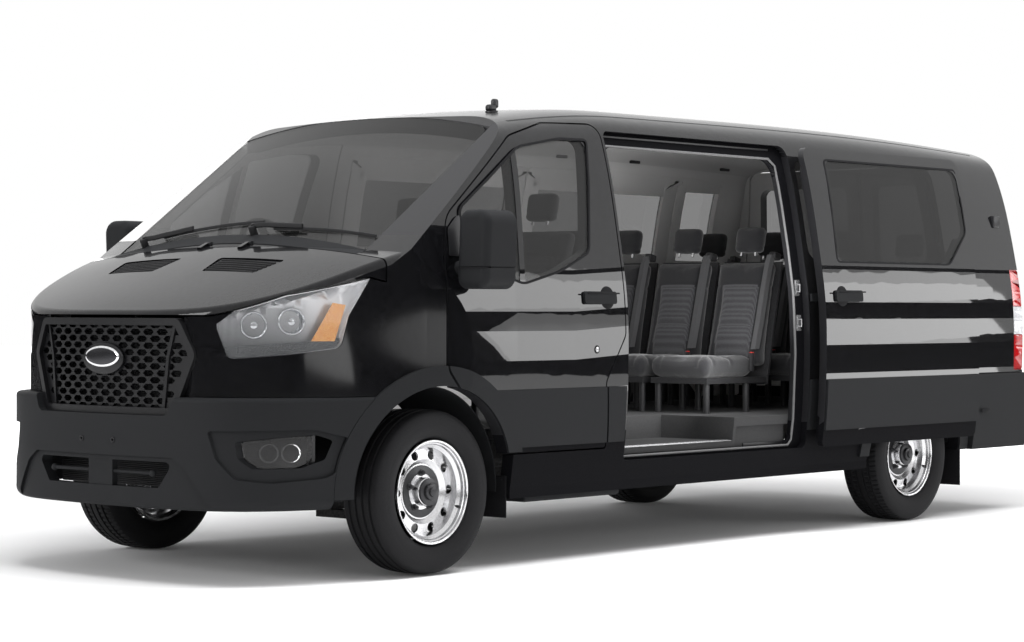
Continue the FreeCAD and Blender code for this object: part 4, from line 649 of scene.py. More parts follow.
def disc(centre, axis, radius, depth, edge=0.003, vertices=32):
    """A turned disc or stub about an axis, its rims rounded."""
    bpy.ops.object.select_all(action="DESELECT")
    turn = Vector(axis).to_track_quat("Z", "Y").to_euler()
    bpy.ops.mesh.primitive_cylinder_add(
        vertices=vertices, radius=radius, depth=depth, location=centre, rotation=turn)
    bpy.ops.object.transform_apply()
    piece = bpy.context.object
    if edge > 0.0:
        modified(piece, "BEVEL", width=edge, segments=2, limit_method="ANGLE", angle_limit=0.9)
    return piece


def outside(face, side):
    """Whether a face of the lamp on one side looks outward."""
    return face.normal.y * side > 0.1 and face.center.y * side > 0


def trimmed(piece, cuts, step=None):
    """Cuts a piece off outside each plane, then moves what is left by a step."""
    bpy.context.view_layer.objects.active = piece
    bpy.ops.object.mode_set(mode="EDIT")
    for place, out in cuts:
        bpy.ops.mesh.select_all(action="SELECT")
        bpy.ops.mesh.bisect(plane_co=place, plane_no=out, clear_outer=True)
    if step:
        bpy.ops.mesh.select_all(action="SELECT")
        bpy.ops.transform.translate(value=step)
    bpy.ops.object.mode_set(mode="OBJECT")
    return piece


def lamp_shells(node, tag, side, side_name, cover_finish, back_finish):
    """Makes a lamp's cover and housing from the outer and inner faces of the CAD lamp."""
    cover = faces_of(node, lambda face: outside(face, side))
    modified(cover, "SOLIDIFY", thickness=0.003, offset=-1.0)
    fitted(cover, "%s_cover_%s" % (tag, side_name), cover_finish, "body_shell", 30.0)
    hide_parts(node)
    housing = faces_of(node, lambda face: face.normal.y * side <= 0.1 and face.center.y * side > 0)
    modified(housing, "SOLIDIFY", thickness=0.002, offset=-1.0)
    fitted(housing, "%s_housing_%s" % (tag, side_name), back_finish, "body_shell", 30.0)


for side, side_name in sides:
    lamp_shells("headlamps", "headlamp", side, side_name, lamp_cover, housing_painted_light)
    parts = []
    for (x, y, z), (ahead, aside) in (((2.742, 0.683, 1.060), (0.80, 0.60)), ((2.628, 0.786, 1.075), (0.66, 0.75))):
        out = (ahead, aside * side, 0.0)
        parts.append(bowl((x, y * side, z), out, 0.052, 0.034))
        parts.append(ring_of((x, y * side, z), out, 0.052, 0.004))
        parts.append(disc((x - out[0] * 0.012, y * side - out[1] * 0.012, z), out, 0.016, 0.022, 0.005, 24))
    fitted(joined(parts), "headlamp_reflectors_" + side_name, fluted, "body_shell")
    bezel = faces_of("headlamps", lambda face: outside(face, side) and face.center.z < 1.30)
    trimmed(bezel, [((2.55, 0, 1.000), (0.10, 0, 1.0))], (-0.009, -0.012 * side, 0.0))
    modified(bezel, "SOLIDIFY", thickness=0.008, offset=-1.0)
    fitted(bezel, "headlamp_bezel_" + side_name, bezel_black, "body_shell", 30.0)
    corner = faces_of("headlamps", lambda face: outside(face, side))
    trimmed(corner, [((2.585, 0, 0.990), (1.0, 0, 0.549)), ((2.470, 0, 1.148), (-0.16, 0, 1.0)),
                     ((2.530, 0, 0.995), (0.0, 0, -1.0)), ((2.488, 0, 0.999), (-1.0, 0, -0.318))],
            (-0.005, -0.008 * side, 0.0))
    modified(corner, "SOLIDIFY", thickness=0.006, offset=-1.0)
    fitted(corner, "headlamp_amber_" + side_name, amber, "body_shell", 30.0)

# Fog lamps
# A smoked plastic cover over two round reflectors in a black housing, clipped
# into the bumper's scoop.
for side, side_name in sides:
    lamp_shells("fog_lamps", "fog", side, side_name, smoked_cover, bezel_black)
    parts = []
    for x, y in ((2.722, 0.752), (2.650, 0.806)):
        out = (0.60, 0.80 * side, 0.0)
        parts.append(bowl((x, y * side, 0.540), out, 0.036, 0.024))
        parts.append(ring_of((x, y * side, 0.540), out, 0.037, 0.004))
    fitted(joined(parts), "fog_reflectors_" + side_name, chrome, "body_shell")

# Tail lamps
# Tall corner lamps, red with a white band in the middle, moulded in clear
# plastic and screwed to the body's rear corners.
tail_red = mottled("tail_red", 0.08, 160.0, 0.25,
    (0.30, 0.004, 0.006), (0.50, 0.012, 0.014), detail=0.0, distance=0.002, Coat_Weight=1.0)
tail_white = mottled("tail_white", 0.08, 160.0, 0.25,
    (0.50, 0.50, 0.52), (0.72, 0.72, 0.74), detail=0.0, distance=0.002, Coat_Weight=1.0)
coat("tail_lamps", tail_red, tail_white)
for side, side_name in sides:
    for number, (low, high, colour) in enumerate(((0.800, 0.985, tail_red), (0.990, 1.145, tail_white),
                                                  (1.150, 1.345, tail_red))):
        piece = faces_of("tail_lamps", lambda face: face.center.y * side > 0
                         and (face.normal.y * side > 0.1 or face.normal.x < -0.3))
        trimmed(piece, [((0, 0, high), (0, 0, 1.0)), ((0, 0, low), (0, 0, -1.0))])
        modified(piece, "SOLIDIFY", thickness=0.003, offset=1.0)
        fitted(piece, "tail_lens_%s_%d" % (side_name, number + 1), colour, "body_shell", 30.0)

# Glass and wipers
# Tinted panes bonded into their openings. Two wipers turn on stubs in the
# scuttle, each a cranked arm with a blade in a rubber.
glass = see_through("tinted_glass", (0.004, 0.004, 0.004), 0.02, 0.45, 1.6, 3.0, 0.004)
screen_tint = see_through("windscreen_glass", (0.004, 0.004, 0.004), 0.02, 0.62, 1.4, 3.0, 0.004)
dark_glass = see_through("dark_glass", (0.004, 0.004, 0.004), 0.02, 0.55, 1.5, 3.0, 0.004)
rubber_black = mottled("wiper_rubber", 0.55, 600.0, 0.2,
    (0.009, 0.009, 0.010), (0.018, 0.018, 0.019), Specular_IOR_Level=0.2)
coat("windscreen", screen_tint)
coat("side_glass", dark_glass)
for side_name in ("left", "right"):
    coat("front_door_glass_" + side_name, glass)
    coat("rear_door_glass_" + side_name, dark_glass)

for number, (foot_y, tip_y) in enumerate(((-0.62, 0.02), (0.10, 0.70))):
    foot, facing = skin_point("windscreen", (2.165, foot_y, 2.5), (0, 0, -1))
    middle, facing = skin_point("windscreen", (2.155, foot_y * 0.55 + tip_y * 0.45, 2.5), (0, 0, -1))
    parts = [disc(foot + Vector((0.035, 0, -0.004)), (0.4, 0, 0.9), 0.017, 0.045, 0.004),
             rod([foot + Vector((0.035, 0, 0.016)), foot + Vector((0.020, 0.05, 0.022)),
                  middle + Vector((0.006, 0, 0.020))], 0.0055, 0.006)]
    parts.append(disc(foot + Vector((0.035, 0, 0.020)), (0.4, 0, 0.9), 0.010, 0.014, 0.002))
    blade = []
    for step in range(9):
        y = foot_y + 0.10 + (tip_y - foot_y - 0.02) * step / 8
        place, facing = skin_point("windscreen", (2.168 - 0.040 * step / 8, y, 2.5), (0, 0, -1))
        blade.append(place + Vector((0.0, 0.0, 0.010)))
    parts.append(rod(blade, 0.0028, 0.0045))
    fitted(joined(parts), "wiper_%d" % (number + 1), rubber_black, "body_shell")

# Floor and dashboard
# A grained floor mat over the steel pan, with plain grey step and risers, and a
# moulded dashboard with the steering wheel on its right.
mat_grey = mottled("floor_mat", 0.75, 500.0, 0.5,
    (0.040, 0.040, 0.041), (0.066, 0.066, 0.067), Specular_IOR_Level=0.2)
pan_black = mottled("pan_black", 0.7, 120.0, 0.3,
    (0.011, 0.011, 0.012), (0.021, 0.021, 0.022), Specular_IOR_Level=0.1)
pan = coat("floor_pan", mat_grey, pan_black)
for face in pan.data.polygons:
    face.material_index = 0 if face.center.z > 0.455 and abs(face.center.y) < 0.96 else 1
dash_grey = mottled("dash_grain", 0.6, 600.0, 0.35,
    (0.018, 0.018, 0.019), (0.030, 0.030, 0.032), Specular_IOR_Level=0.2)
coat("dashboard", dash_grey)
coat("steering_wheel", dash_grey)


# Wall trim
# Moulded panels line the walls round each window, with a raised edge, and run
# down to the floor. Two grab slots are let into the headliner's edge.


def bent_to_wall(panel, side, inset):
    """Sets an upright panel against the body's section, some way in from the skin."""
    for corner in panel.data.vertices:
        corner.co.y = side * (half_width(corner.co.z) - inset)
    return panel


def ringed(panel, width):
    """Leaves only a border of a panel."""
    bpy.ops.object.mode_set(mode="EDIT")
    bpy.ops.mesh.select_all(action="SELECT")
    bpy.ops.mesh.inset(thickness=width, use_boundary=True)
    bpy.ops.mesh.delete(type="FACE")
    bpy.ops.object.mode_set(mode="OBJECT")
    return panel


for number, (front_x, rear_x) in enumerate(((0.640, -0.718), (-0.726, -2.092), (-2.100, -2.600))):
    outer = [(front_x, 1.905), (front_x, 1.330), (rear_x, 1.330), (rear_x, 1.905)]
    panel = stood(cut_panel(outer, 0.03, 3), "side", -0.85)
    ringed(panel, 0.118 if front_x - rear_x > 0.6 else 0.085)
    sliced(panel, (0, 0, 1), 1.33, 1.905, 0.05)
    bent_to_wall(panel, -1, 0.066)
    thick(panel, 0.006, 0.0, 0.002)
    fitted(panel, "window_surround_%d" % (number + 1), trim_grey, "body_shell")
lower = stood(cut_panel([(0.70, 1.325), (0.70, 0.64), (-2.66, 0.64), (-2.66, 1.325)], 0.02, 2), "side", -0.9)
sliced(lower, (0, 0, 1), 0.64, 1.325, 0.06)
bent_to_wall(lower, -1, 0.068)
thick(lower, 0.005, 0.0, 0.002)
fitted(lower, "right_lower_trim", trim_grey, "body_shell")
slots = []
for x in (-0.25, -0.95, -1.598, -2.434):
    place, facing = skin_point("roof", (x, 0.0, 1.70), (0.0, -0.75, 0.27))
    slots.append(block((x - 0.045, place.y - 0.004, place.z - 0.014),
                       (x + 0.045, place.y + 0.008, place.z + 0.012), 0.004))
fitted(joined(slots), "headliner_slots", satin_black, "body_shell")

# Passenger seats
# Sprung foam in charcoal cloth: crowned bolsters, a dotted insert between sewn
# channels, a smooth upper panel and a headrest on two posts. One seat's pads are
# blown up as cloth, then copied to every place.
cloth_dark = mottled("charcoal_cloth", 0.95, 1100.0, 0.5,
    (0.010, 0.010, 0.011), (0.023, 0.023, 0.025), Sheen_Weight=0.25, Specular_IOR_Level=0.2)
insert_cloth, tree, main = shader(
    "dotted_insert_cloth", (0.045, 0.045, 0.048), 0.95, Sheen_Weight=0.3, Specular_IOR_Level=0.2)
dots = tree.nodes.new("ShaderNodeTexVoronoi")
dots.inputs["Scale"].default_value = 160.0
dots.inputs["Randomness"].default_value = 0.15
coords = tree.nodes.new("ShaderNodeTexCoord")
tree.links.new(coords.outputs["Object"], dots.inputs["Vector"])
mottle(tree, main, dots.outputs["Distance"], (0.009, 0.009, 0.010), (0.060, 0.060, 0.064), 0.25, 0.50)
raised(tree, main, dots.outputs["Distance"], 0.5, 0.001)


def swollen(pad, voxel, most):
    """Remeshes a pad finely, blows it up as cloth and caps how far it swells."""
    modified(pad, "REMESH", mode="VOXEL", voxel_size=voxel)
    before = [corner.co.copy() for corner in pad.data.vertices]
    cloth = pad.modifiers.new("cloth", "CLOTH")
    cloth.settings.use_pressure = True
    cloth.settings.uniform_pressure_force = 4.0
    cloth.settings.effector_weights.gravity = 0.0
    for frame_number in range(1, 21):
        scene.frame_set(frame_number)
    bpy.context.view_layer.objects.active = pad
    bpy.ops.object.modifier_apply(modifier="cloth")
    scene.frame_set(1)
    for corner, start in zip(pad.data.vertices, before):
        move = corner.co - start
        if move.length > most:
            corner.co = start + move * (most / move.length)
    return pad


def channelled(pad, grooves, depth, width):
    """Presses sewn channels into a pad: each is (axis, place, low, high of the other axis)."""
    for corner in pad.data.vertices:
        press = 0.0
        for axis, place, other, low, high in grooves:
            if low <= corner.co[other] <= high:
                away = abs(corner.co[axis] - place)
                press = max(press, depth * max(0.0, 1.0 - (away / width) ** 2))
        if press > 0.0:
            corner.co -= corner.normal * press
    return pad


def seat_pads(width, back_height, cushion_depth, voxel):
    """One seat's cushion, back and headrest in their own frames, standing at the origin."""
    half = width / 2
    cushion = block((-cushion_depth + 0.012, -half + 0.012, -0.100), (-0.012, half - 0.012, -0.014), 0.034, 4)
    swollen(cushion, voxel, 0.016)
    for corner in cushion.data.vertices:
        rise = max(0.0, (abs(corner.co.y) - half * 0.62) / (half * 0.38))
        if corner.co.z > -0.05:
            corner.co.z += 0.012 * min(rise, 1.0) - 0.010 * max(0.0, 1 - abs(corner.co.y) / (half * 0.6)) * 0.6
    channelled(cushion, [(1, half * 0.60, 2, -0.06, 0.1), (1, -half * 0.60, 2, -0.06, 0.1),
                         (0, -0.105, 2, -0.05, 0.1), (0, -cushion_depth * 0.55, 2, -0.05, 0.1)], 0.006, 0.011)
    back = block((-0.078, -half + 0.020, 0.012), (-0.012, half - 0.020, back_height - 0.012), 0.026, 4)
    swollen(back, voxel, 0.016)
    for corner in back.data.vertices:
        if corner.co.x > -0.05:
            rise = min(1.0, max(0.0, (abs(corner.co.y) - half * 0.58) / (half * 0.34)))
            low_part = 1.0 if corner.co.z < back_height * 0.72 else max(0.0, 1 - (corner.co.z / back_height - 0.72) * 6)
            corner.co.x += 0.016 * rise * low_part
            corner.co.x += 0.010 * max(0.0, 1 - abs(corner.co.z - 0.17) / 0.14) * (1 - rise)
    channelled(back, [(1, half * 0.58, 2, 0.03, back_height * 0.74), (1, -half * 0.58, 2, 0.03, back_height * 0.74),
                      (2, back_height * 0.74, 1, -half, half), (2, back_height * 0.40, 1, -half * 0.58, half * 0.58)],
               0.006, 0.011)
    rest = block((-0.070, -0.088, 0.006), (-0.010, 0.088, 0.142), 0.026, 4)
    swollen(rest, voxel * 0.8, 0.010)
    channelled(rest, [(2, 0.040, 1, -0.1, 0.1)], 0.004, 0.008)
    for pad in (cushion, back, rest):
        pad.data.materials.clear()
        pad.data.materials.append(cloth_dark)
        pad.data.materials.append(insert_cloth)
    for face in cushion.data.polygons:
        middle = face.center
        inside = abs(middle.y) < half * 0.60 and -cushion_depth * 0.97 < middle.x < -0.105
        face.material_index = 1 if inside and face.normal.z > 0.3 else 0
    for face in back.data.polygons:
        middle = face.center
        inside = abs(middle.y) < half * 0.58 and middle.z < back_height * 0.74
        face.material_index = 1 if inside and face.normal.x > 0.3 else 0
    return cushion, back, rest


def set_pad(pad, name, matrix, node, fine):
    """A copy of a pad, with its own mesh, set in its place, riding on the body, with its CAD node hidden."""
    twin = bpy.data.objects.new(name, pad.data.copy())
    scene.collection.objects.link(twin)
    bpy.ops.object.select_all(action="DESELECT")
    twin.select_set(True)
    bpy.context.view_layer.objects.active = twin
    twin.matrix_world = matrix
    bpy.ops.object.transform_apply()
    if fine:
        modified(twin, "SUBSURF", levels=1, render_levels=1)
    bpy.ops.object.shade_smooth()
    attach(twin, "body_shell")
    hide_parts(node)
    return twin


lean = radians(12.0)
cushion, back, rest = seat_pads(0.396, 0.600, 0.470, 0.012)
seat_places = []
for row in range(3):
    for across, y in enumerate((-0.370, 0.040, 0.450)):
        seat_places.append((-0.380 - 0.780 * row, y, 0.890, "seat_row_%d" % (row + 2), across + 1))


def seat_at(x, y, top, tag, node, wider, fine):
    """Sets one seat: a flat cushion, and a back and a headrest that lean."""
    turn = Matrix.Rotation(-lean, 4, "Y")
    foot = Vector((x - 0.480, y, top - 0.072))
    up = foot + Vector((-sin(lean), 0, cos(lean))) * 0.622
    set_pad(cushion, "cushion_" + tag, Matrix.Translation((x, y, top)) @ wider, node, fine)
    set_pad(back, "back_" + tag, Matrix.Translation(foot) @ turn @ wider, node, fine)
    set_pad(rest, "headrest_" + tag, Matrix.Translation(up) @ turn, node, fine)


for x, y, top, node, number in seat_places:
    seat_at(x, y, top, "%s_place_%d" % (node, number), node, Matrix.Identity(4), node == "seat_row_2")
front_width = Matrix.Diagonal((1.0, 0.500 / 0.396, 1.0, 1.0))
for index, y in enumerate((-0.430, 0.430)):
    seat_at(1.290, y, 1.010, "front_seat_%d" % (index + 1), "front_seats", front_width, False)
for pad in (cushion, back, rest):
    bpy.data.objects.remove(pad)

# Seat frames, guides and belts
# Black steel frames with bright headrest posts. Each passenger back has a belt
# guide at its top corner, a grey belt down its face and a buckle with a red
# button beside the cushion.
frame_steel = mottled("frame_black", 0.35, 150.0, 0.1,
    (0.013, 0.013, 0.014), (0.026, 0.026, 0.027), Specular_IOR_Level=0.4)
frames = coat("seat_frames", frame_steel, chrome)
for face in frames.data.polygons:
    face.material_index = 1 if face.center.z > (1.40 if face.center.x < 0 else 1.52) else 0
belt_grey, tree, main = shader("belt_webbing", (0.08, 0.08, 0.083), 0.8)
weave = tree.nodes.new("ShaderNodeTexWave")
weave.inputs["Scale"].default_value = 160.0
weave.bands_direction = "Z"
coords = tree.nodes.new("ShaderNodeTexCoord")
tree.links.new(coords.outputs["Object"], weave.inputs["Vector"])
raised(tree, main, weave.outputs["Fac"], 1.0, 0.0008)
button_red = mottled("buckle_red", 0.4, 300.0, 0.1, (0.40, 0.022, 0.02), (0.50, 0.04, 0.03))


def strap(points, across, thickness):
    """A flat belt: an edge drawn out along some points, then given its thickness."""
    bpy.ops.object.select_all(action="DESELECT")
    bpy.ops.mesh.primitive_plane_add(size=1.0, location=(0, 0, 0))
    piece = bpy.context.object
    half = Vector(across) / 2
    first, second = Vector(points[0]), Vector(points[1])
    for corner, place in zip(piece.data.vertices, (first - half, first + half, second - half, second + half)):
        corner.co = place
    for number, corner in enumerate(piece.data.vertices):
        corner.select = number > 1
    bpy.ops.object.mode_set(mode="EDIT")
    bpy.ops.mesh.select_mode(type="VERT")
    for before, after in zip(points[1:], points[2:]):
        move = Vector(after) - Vector(before)
        bpy.ops.mesh.extrude_region_move(TRANSFORM_OT_translate={"value": move})
    bpy.ops.object.mode_set(mode="OBJECT")
    modified(piece, "SOLIDIFY", thickness=thickness, offset=0.0)
    return piece


for x, y, top, node, number in seat_places:
    tag = "%s_place_%d" % (node, number)
    foot = Vector((x - 0.480, y, top - 0.072))
    rise = Vector((-sin(lean), 0, cos(lean)))
    forward = Vector((cos(lean), 0, sin(lean)))
    corner_y = 0.172
    head = foot + rise * 0.600
    guide = block((-0.030, -0.020, -0.012), (0.030, 0.020, 0.026), 0.008, 3)
    guide_place = head + forward * -0.035 + Vector((0, corner_y, 0.0))
    guide.matrix_world = Matrix.Translation(guide_place) @ Matrix.Rotation(-lean, 4, "Y")
    bpy.ops.object.transform_apply()
    fitted(guide, "belt_guide_" + tag, frame_steel, "body_shell")
    line = [head + forward * -0.020 + rise * 0.012, head + forward * 0.012 + rise * 0.004,
            head + forward * 0.018 - rise * 0.05, foot + forward * 0.022 + rise * 0.42,
            foot + forward * 0.024 + rise * 0.25, foot + forward * 0.030 + rise * 0.10]
    line = [Vector((p.x, y + corner_y - 0.004 * n, p.z)) for n, p in enumerate(line)]
    fitted(strap(line, (0, 0.026, 0), 0.0018), "belt_" + tag, belt_grey, "body_shell")
    buckle = [block((x - 0.405, y + 0.196, top - 0.080), (x - 0.375, y + 0.212, top + 0.015), 0.005),
              block((x - 0.400, y - 0.212, top - 0.080), (x - 0.380, y - 0.198, top + 0.005), 0.005)]
    fitted(joined(buckle), "buckles_" + tag, frame_steel, "body_shell")
    cap = block((x - 0.402, y + 0.198, top + 0.012), (x - 0.378, y + 0.210, top + 0.019), 0.002)
    fitted(cap, "buckle_button_" + tag, button_red, "body_shell")

# Door mirrors
# A grained plastic shell on a short arm, split from a lower cap, with a
# silvered glass set in its rear face and a black sail at its root.
mirror_silver, tree, main = shader("mirror_silver", (0.80, 0.80, 0.81), 0.02, Metallic=1.0)
grain(tree, main, 5.0, 0.005)
seal_black = mottled("seal_rubber", 0.55, 500.0, 0.2,
    (0.006, 0.006, 0.007), (0.012, 0.012, 0.013), Specular_IOR_Level=0.1)
trim_bright, tree, main = shader("satin_bright_line", (0.50, 0.50, 0.51), 0.25, Metallic=0.8)
grain(tree, main, 100.0, 0.02)


for side, side_name in sides:
    door = "front_door_" + side_name
    parts = []
    for outline, radius in (([(1.080, 1.330), (1.212, 1.330), (1.212, 1.515), (1.080, 1.515)], 0.022),
                            ([(1.080, 1.240), (1.206, 1.240), (1.210, 1.316), (1.080, 1.316)], 0.018)):
        outline = [(side * y, z) for y, z in outline]
        parts.append(thick(stood(cut_panel(outline, radius, 5), "front", 1.7405), 0.002))
    fitted(joined(parts), "mirror_glass_" + side_name, mirror_silver, door)
    outline = [(side * 1.050, 1.298), (side * 1.2385, 1.298), (side * 1.2385, 1.304), (side * 1.050, 1.304)]
    split = thick(stood(cut_panel(outline), "front", 1.9335), 0.002)
    fitted(split, "mirror_split_" + side_name, seal_black, door)
    outline = [(1.905, 1.352), (1.815, 1.352), (1.812, 1.530), (1.838, 1.520), (1.896, 1.470)]
    sail = sliced(stood(cut_panel(outline, 0.010, 3), "side", 0.9), (0, 0, 1), 1.352, 1.53, 0.04)
    for corner in sail.data.vertices:
        corner.co.y = side * (half_width(corner.co.z) + 0.0015)
    thick(sail, 0.004, 0.0, 0.001)
    fitted(sail, "mirror_sail_" + side_name, satin_black, door)

# Door furniture
# Each window sits in a black rubber seal. The handles lie over round dished
# recesses, and a lock barrel is set below the front handle.


def wall_strip(outline, width, side, stand_off, thickness, edge=0.0):
    """A thin frame that follows a side outline just outside the skin."""
    panel = stood(cut_panel(outline, 0.03, 4), "side", 0.9)
    ringed(panel, width)
    sliced(panel, (0, 0, 1), 0.4, 2.0, 0.04)
    for corner in panel.data.vertices:
        corner.co.y = side * (half_width(corner.co.z) + stand_off)
    bpy.context.view_layer.objects.active = panel
    thick(panel, thickness, 0.0, edge)
    return panel


front_window = [(1.812, 1.335), (1.809, 1.562), (1.355, 1.853), (1.060, 1.904), (0.850, 1.908),
                (0.957, 1.381), (1.176, 1.292), (1.440, 1.232)]
for side, side_name in sides:
    door = "front_door_" + side_name
    seal = wall_strip(front_window, 0.011, side, 0.0006, 0.0024)
    fitted(seal, "front_window_seal_" + side_name, seal_black, door)
    recess = disc((0.868, side * (half_width(1.180) + 0.0003), 1.180), (0, side, 0.10), 0.052, 0.0022, 0.0008, 40)
    hollow = disc((0.868, side * (half_width(1.180) + 0.0013), 1.180), (0, side, 0.10), 0.044, 0.0012, 0.0004, 40)
    fitted(joined([recess, hollow]), "handle_recess_" + side_name, seal_black, door)
    grip = block((0.812, side * 1.0468 - 0.0028, 1.196), (1.038, side * 1.0468 + 0.0028, 1.203), 0.002)
    fitted(grip, "handle_line_" + side_name, seal_black, door)
    rose = disc((0.952, side * (half_width(0.946) + 0.0012), 0.946), (0, side, 0), 0.0190, 0.004, 0.0015, 32)
    fitted(rose, "lock_rose_" + side_name, seal_black, door)
    barrel = disc((0.952, side * (half_width(0.946) + 0.0036), 0.946), (0, side, 0), 0.0120, 0.003, 0.001, 28)
    fitted(barrel, "door_lock_" + side_name, trim_bright, door)
slider_y = 0.100
recess = disc((-0.900, half_width(1.195) + slider_y + 0.0003, 1.195), (0, 1, 0.10), 0.052, 0.0022, 0.0008, 40)
fitted(recess, "slider_handle_recess", seal_black, "body_shell")
grip = block((-1.073, 1.1468 - 0.0028, 1.213), (-0.837, 1.1468 + 0.0028, 1.220), 0.002)
fitted(grip, "slider_handle_line", seal_black, "body_shell")
slider_window = [(-0.915, 1.894), (-0.890, 1.364), (-1.980, 1.364), (-2.196, 1.544), (-2.196, 1.894)]
seal = wall_strip(slider_window, 0.010, 1, slider_y + 0.0006, 0.0022)
fitted(seal, "slider_window_seal", seal_black, "body_shell")

# Doorway
# A grey rubber seal runs round the opening under a black upper rail. Two striker
# plates are bolted to the rear post, and a bright tread covers the threshold
# ahead of the riser and the lower guide.
seal_grey = mottled("doorway_seal", 0.6, 400.0, 0.2, (0.10, 0.10, 0.102), (0.15, 0.15, 0.152))
doorway_line = [(0.727, 0.475), (0.727, 1.850), (0.690, 1.884), (-0.620, 1.884), (-0.666, 1.850), (-0.666, 0.475),
                (-0.640, 0.449), (0.700, 0.449)]
for radius, step_in, name, material in (
        (0.0065, 0.034, "doorway_seal", seal_grey), (0.004, 0.060, "doorway_inner_seal", seal_black)):
    line = []
    for (x, z), (next_x, next_z) in zip(doorway_line, doorway_line[1:] + doorway_line[:1]):
        parts = max(1, int(abs(next_z - z) / 0.1))
        for part in range(parts):
            share = part / parts
            height = z + (next_z - z) * share
            line.append((x + (next_x - x) * share, half_width(height) - step_in, height))
    line.append(line[0])
    fitted(rod(line, radius), name, material, "body_shell")
rail_y = half_width(1.915)
rail = [block((-0.640, rail_y - 0.052, 1.898), (0.700, rail_y - 0.044, 1.932), 0.003),
        block((-0.640, rail_y - 0.046, 1.925), (0.700, rail_y - 0.036, 1.934), 0.002),
        block((-0.640, rail_y - 0.046, 1.896), (0.700, rail_y - 0.036, 1.903), 0.002)]
fitted(joined(rail), "doorway_upper_rail", satin_black, "body_shell")
strikers = []
for z in (1.235, 1.060):
    x = -0.700
    y = half_width(z) - 0.034
    strikers.append(block((x - 0.020, y, z - 0.040), (x + 0.020, y + 0.004, z + 0.040), 0.0015))
    strikers.append(rod([(x - 0.006, y + 0.004, z - 0.018), (x - 0.006, y + 0.016, z - 0.018),
                         (x - 0.006, y + 0.016, z + 0.018), (x - 0.006, y + 0.004, z + 0.018)], 0.004))
    strikers.append(disc((x + 0.010, y + 0.0045, z + 0.026), (0, 1, 0), 0.006, 0.003, 0.001, 16))
    strikers.append(disc((x + 0.010, y + 0.0045, z - 0.026), (0, 1, 0), 0.006, 0.003, 0.001, 16))
fitted(joined(strikers), "door_strikers", trim_bright, "body_shell")
tread = [block((-0.190, 0.905, 0.4868), (0.690, 0.948, 0.4902), 0.0012)]
for step in range(4):
    tread.append(block((-0.180, 0.912 + 0.010 * step, 0.4898), (0.680, 0.915 + 0.010 * step, 0.4920), 0.0008))
fitted(joined(tread), "threshold_tread", trim_bright, "body_shell")
riser = block((-0.655, 0.925, 0.452), (-0.205, 0.933, 0.600), 0.003)
fitted(riser, "platform_riser", mat_grey, "body_shell")
guide = [block((-0.640, 0.900, 0.4520), (-0.250, 0.922, 0.4600), 0.002),
         block((-0.640, 0.934, 0.4520), (-0.300, 0.940, 0.4700), 0.002)]
fitted(joined(guide), "lower_door_guide", satin_black, "body_shell")

# Aerial
# A two-lobed plastic aerial on a round rubber foot, bolted through the roof's
# front edge.
place, facing = skin_point("roof", (1.110, 0.530, 3.0), (0, 0, -1))
aerial = [disc(place + Vector((0, 0, 0.002)), facing, 0.030, 0.010, 0.004, 32),
          block(place + Vector((-0.022, -0.018, 0.002)), place + Vector((0.030, 0.018, 0.034)), 0.013, 4),
          block(place + Vector((-0.040, -0.014, 0.018)), place + Vector((-0.004, 0.014, 0.062)), 0.012, 4)]
fitted(joined(aerial), "roof_aerial", satin_black, "body_shell")

# Tyres
# Each tyre is moulded rubber with four grooves round the tread, close sipes
# across its shoulders and fine rings on the side wall.
rubber = mottled("tyre_rubber", 0.62, 350.0, 0.25,
    (0.007, 0.007, 0.008), (0.013, 0.013, 0.014), Specular_IOR_Level=0.16)
tread_block_count = 84


def turned_tyre(centre_x, centre_y, centre_z):
    """A tyre: its section is drawn as a ribbon of short edges and spun about the axle."""
    half = 0.1175
    section = [(-0.080, 0.2215), (-0.093, 0.226), (-0.104, 0.240), (-0.1150, 0.268), (-0.1172, 0.290),
               (-0.1165, 0.296), (-0.1172, 0.302), (-0.114, 0.322), (-0.108, 0.336), (-0.100, 0.345), (-0.088, 0.3495),
               (-0.064, 0.3515), (-0.062, 0.3435), (-0.055, 0.3435), (-0.053, 0.3520),
               (-0.025, 0.3527), (-0.023, 0.3445), (-0.016, 0.3445), (-0.014, 0.3530)]
    section = section + [(-y, r) for y, r in reversed(section)]
    bpy.ops.object.select_all(action="DESELECT")
    bpy.ops.mesh.primitive_circle_add(vertices=len(section), radius=0.1, fill_type="NOTHING")
    tyre = bpy.context.object
    for corner, (y, r) in zip(tyre.data.vertices, section):
        corner.co = (centre_x, centre_y + y, centre_z + r)
    bpy.ops.object.mode_set(mode="EDIT")
    bpy.ops.mesh.select_all(action="SELECT")
    bpy.ops.mesh.spin(steps=tread_block_count * 2, angle=2 * pi, axis=(0, 1, 0),
                      center=(centre_x, centre_y, centre_z))
    bpy.ops.mesh.select_all(action="SELECT")
    bpy.ops.mesh.remove_doubles(threshold=0.0002)
    bpy.ops.mesh.normals_make_consistent(inside=False)
    bpy.ops.object.mode_set(mode="OBJECT")
    return tyre


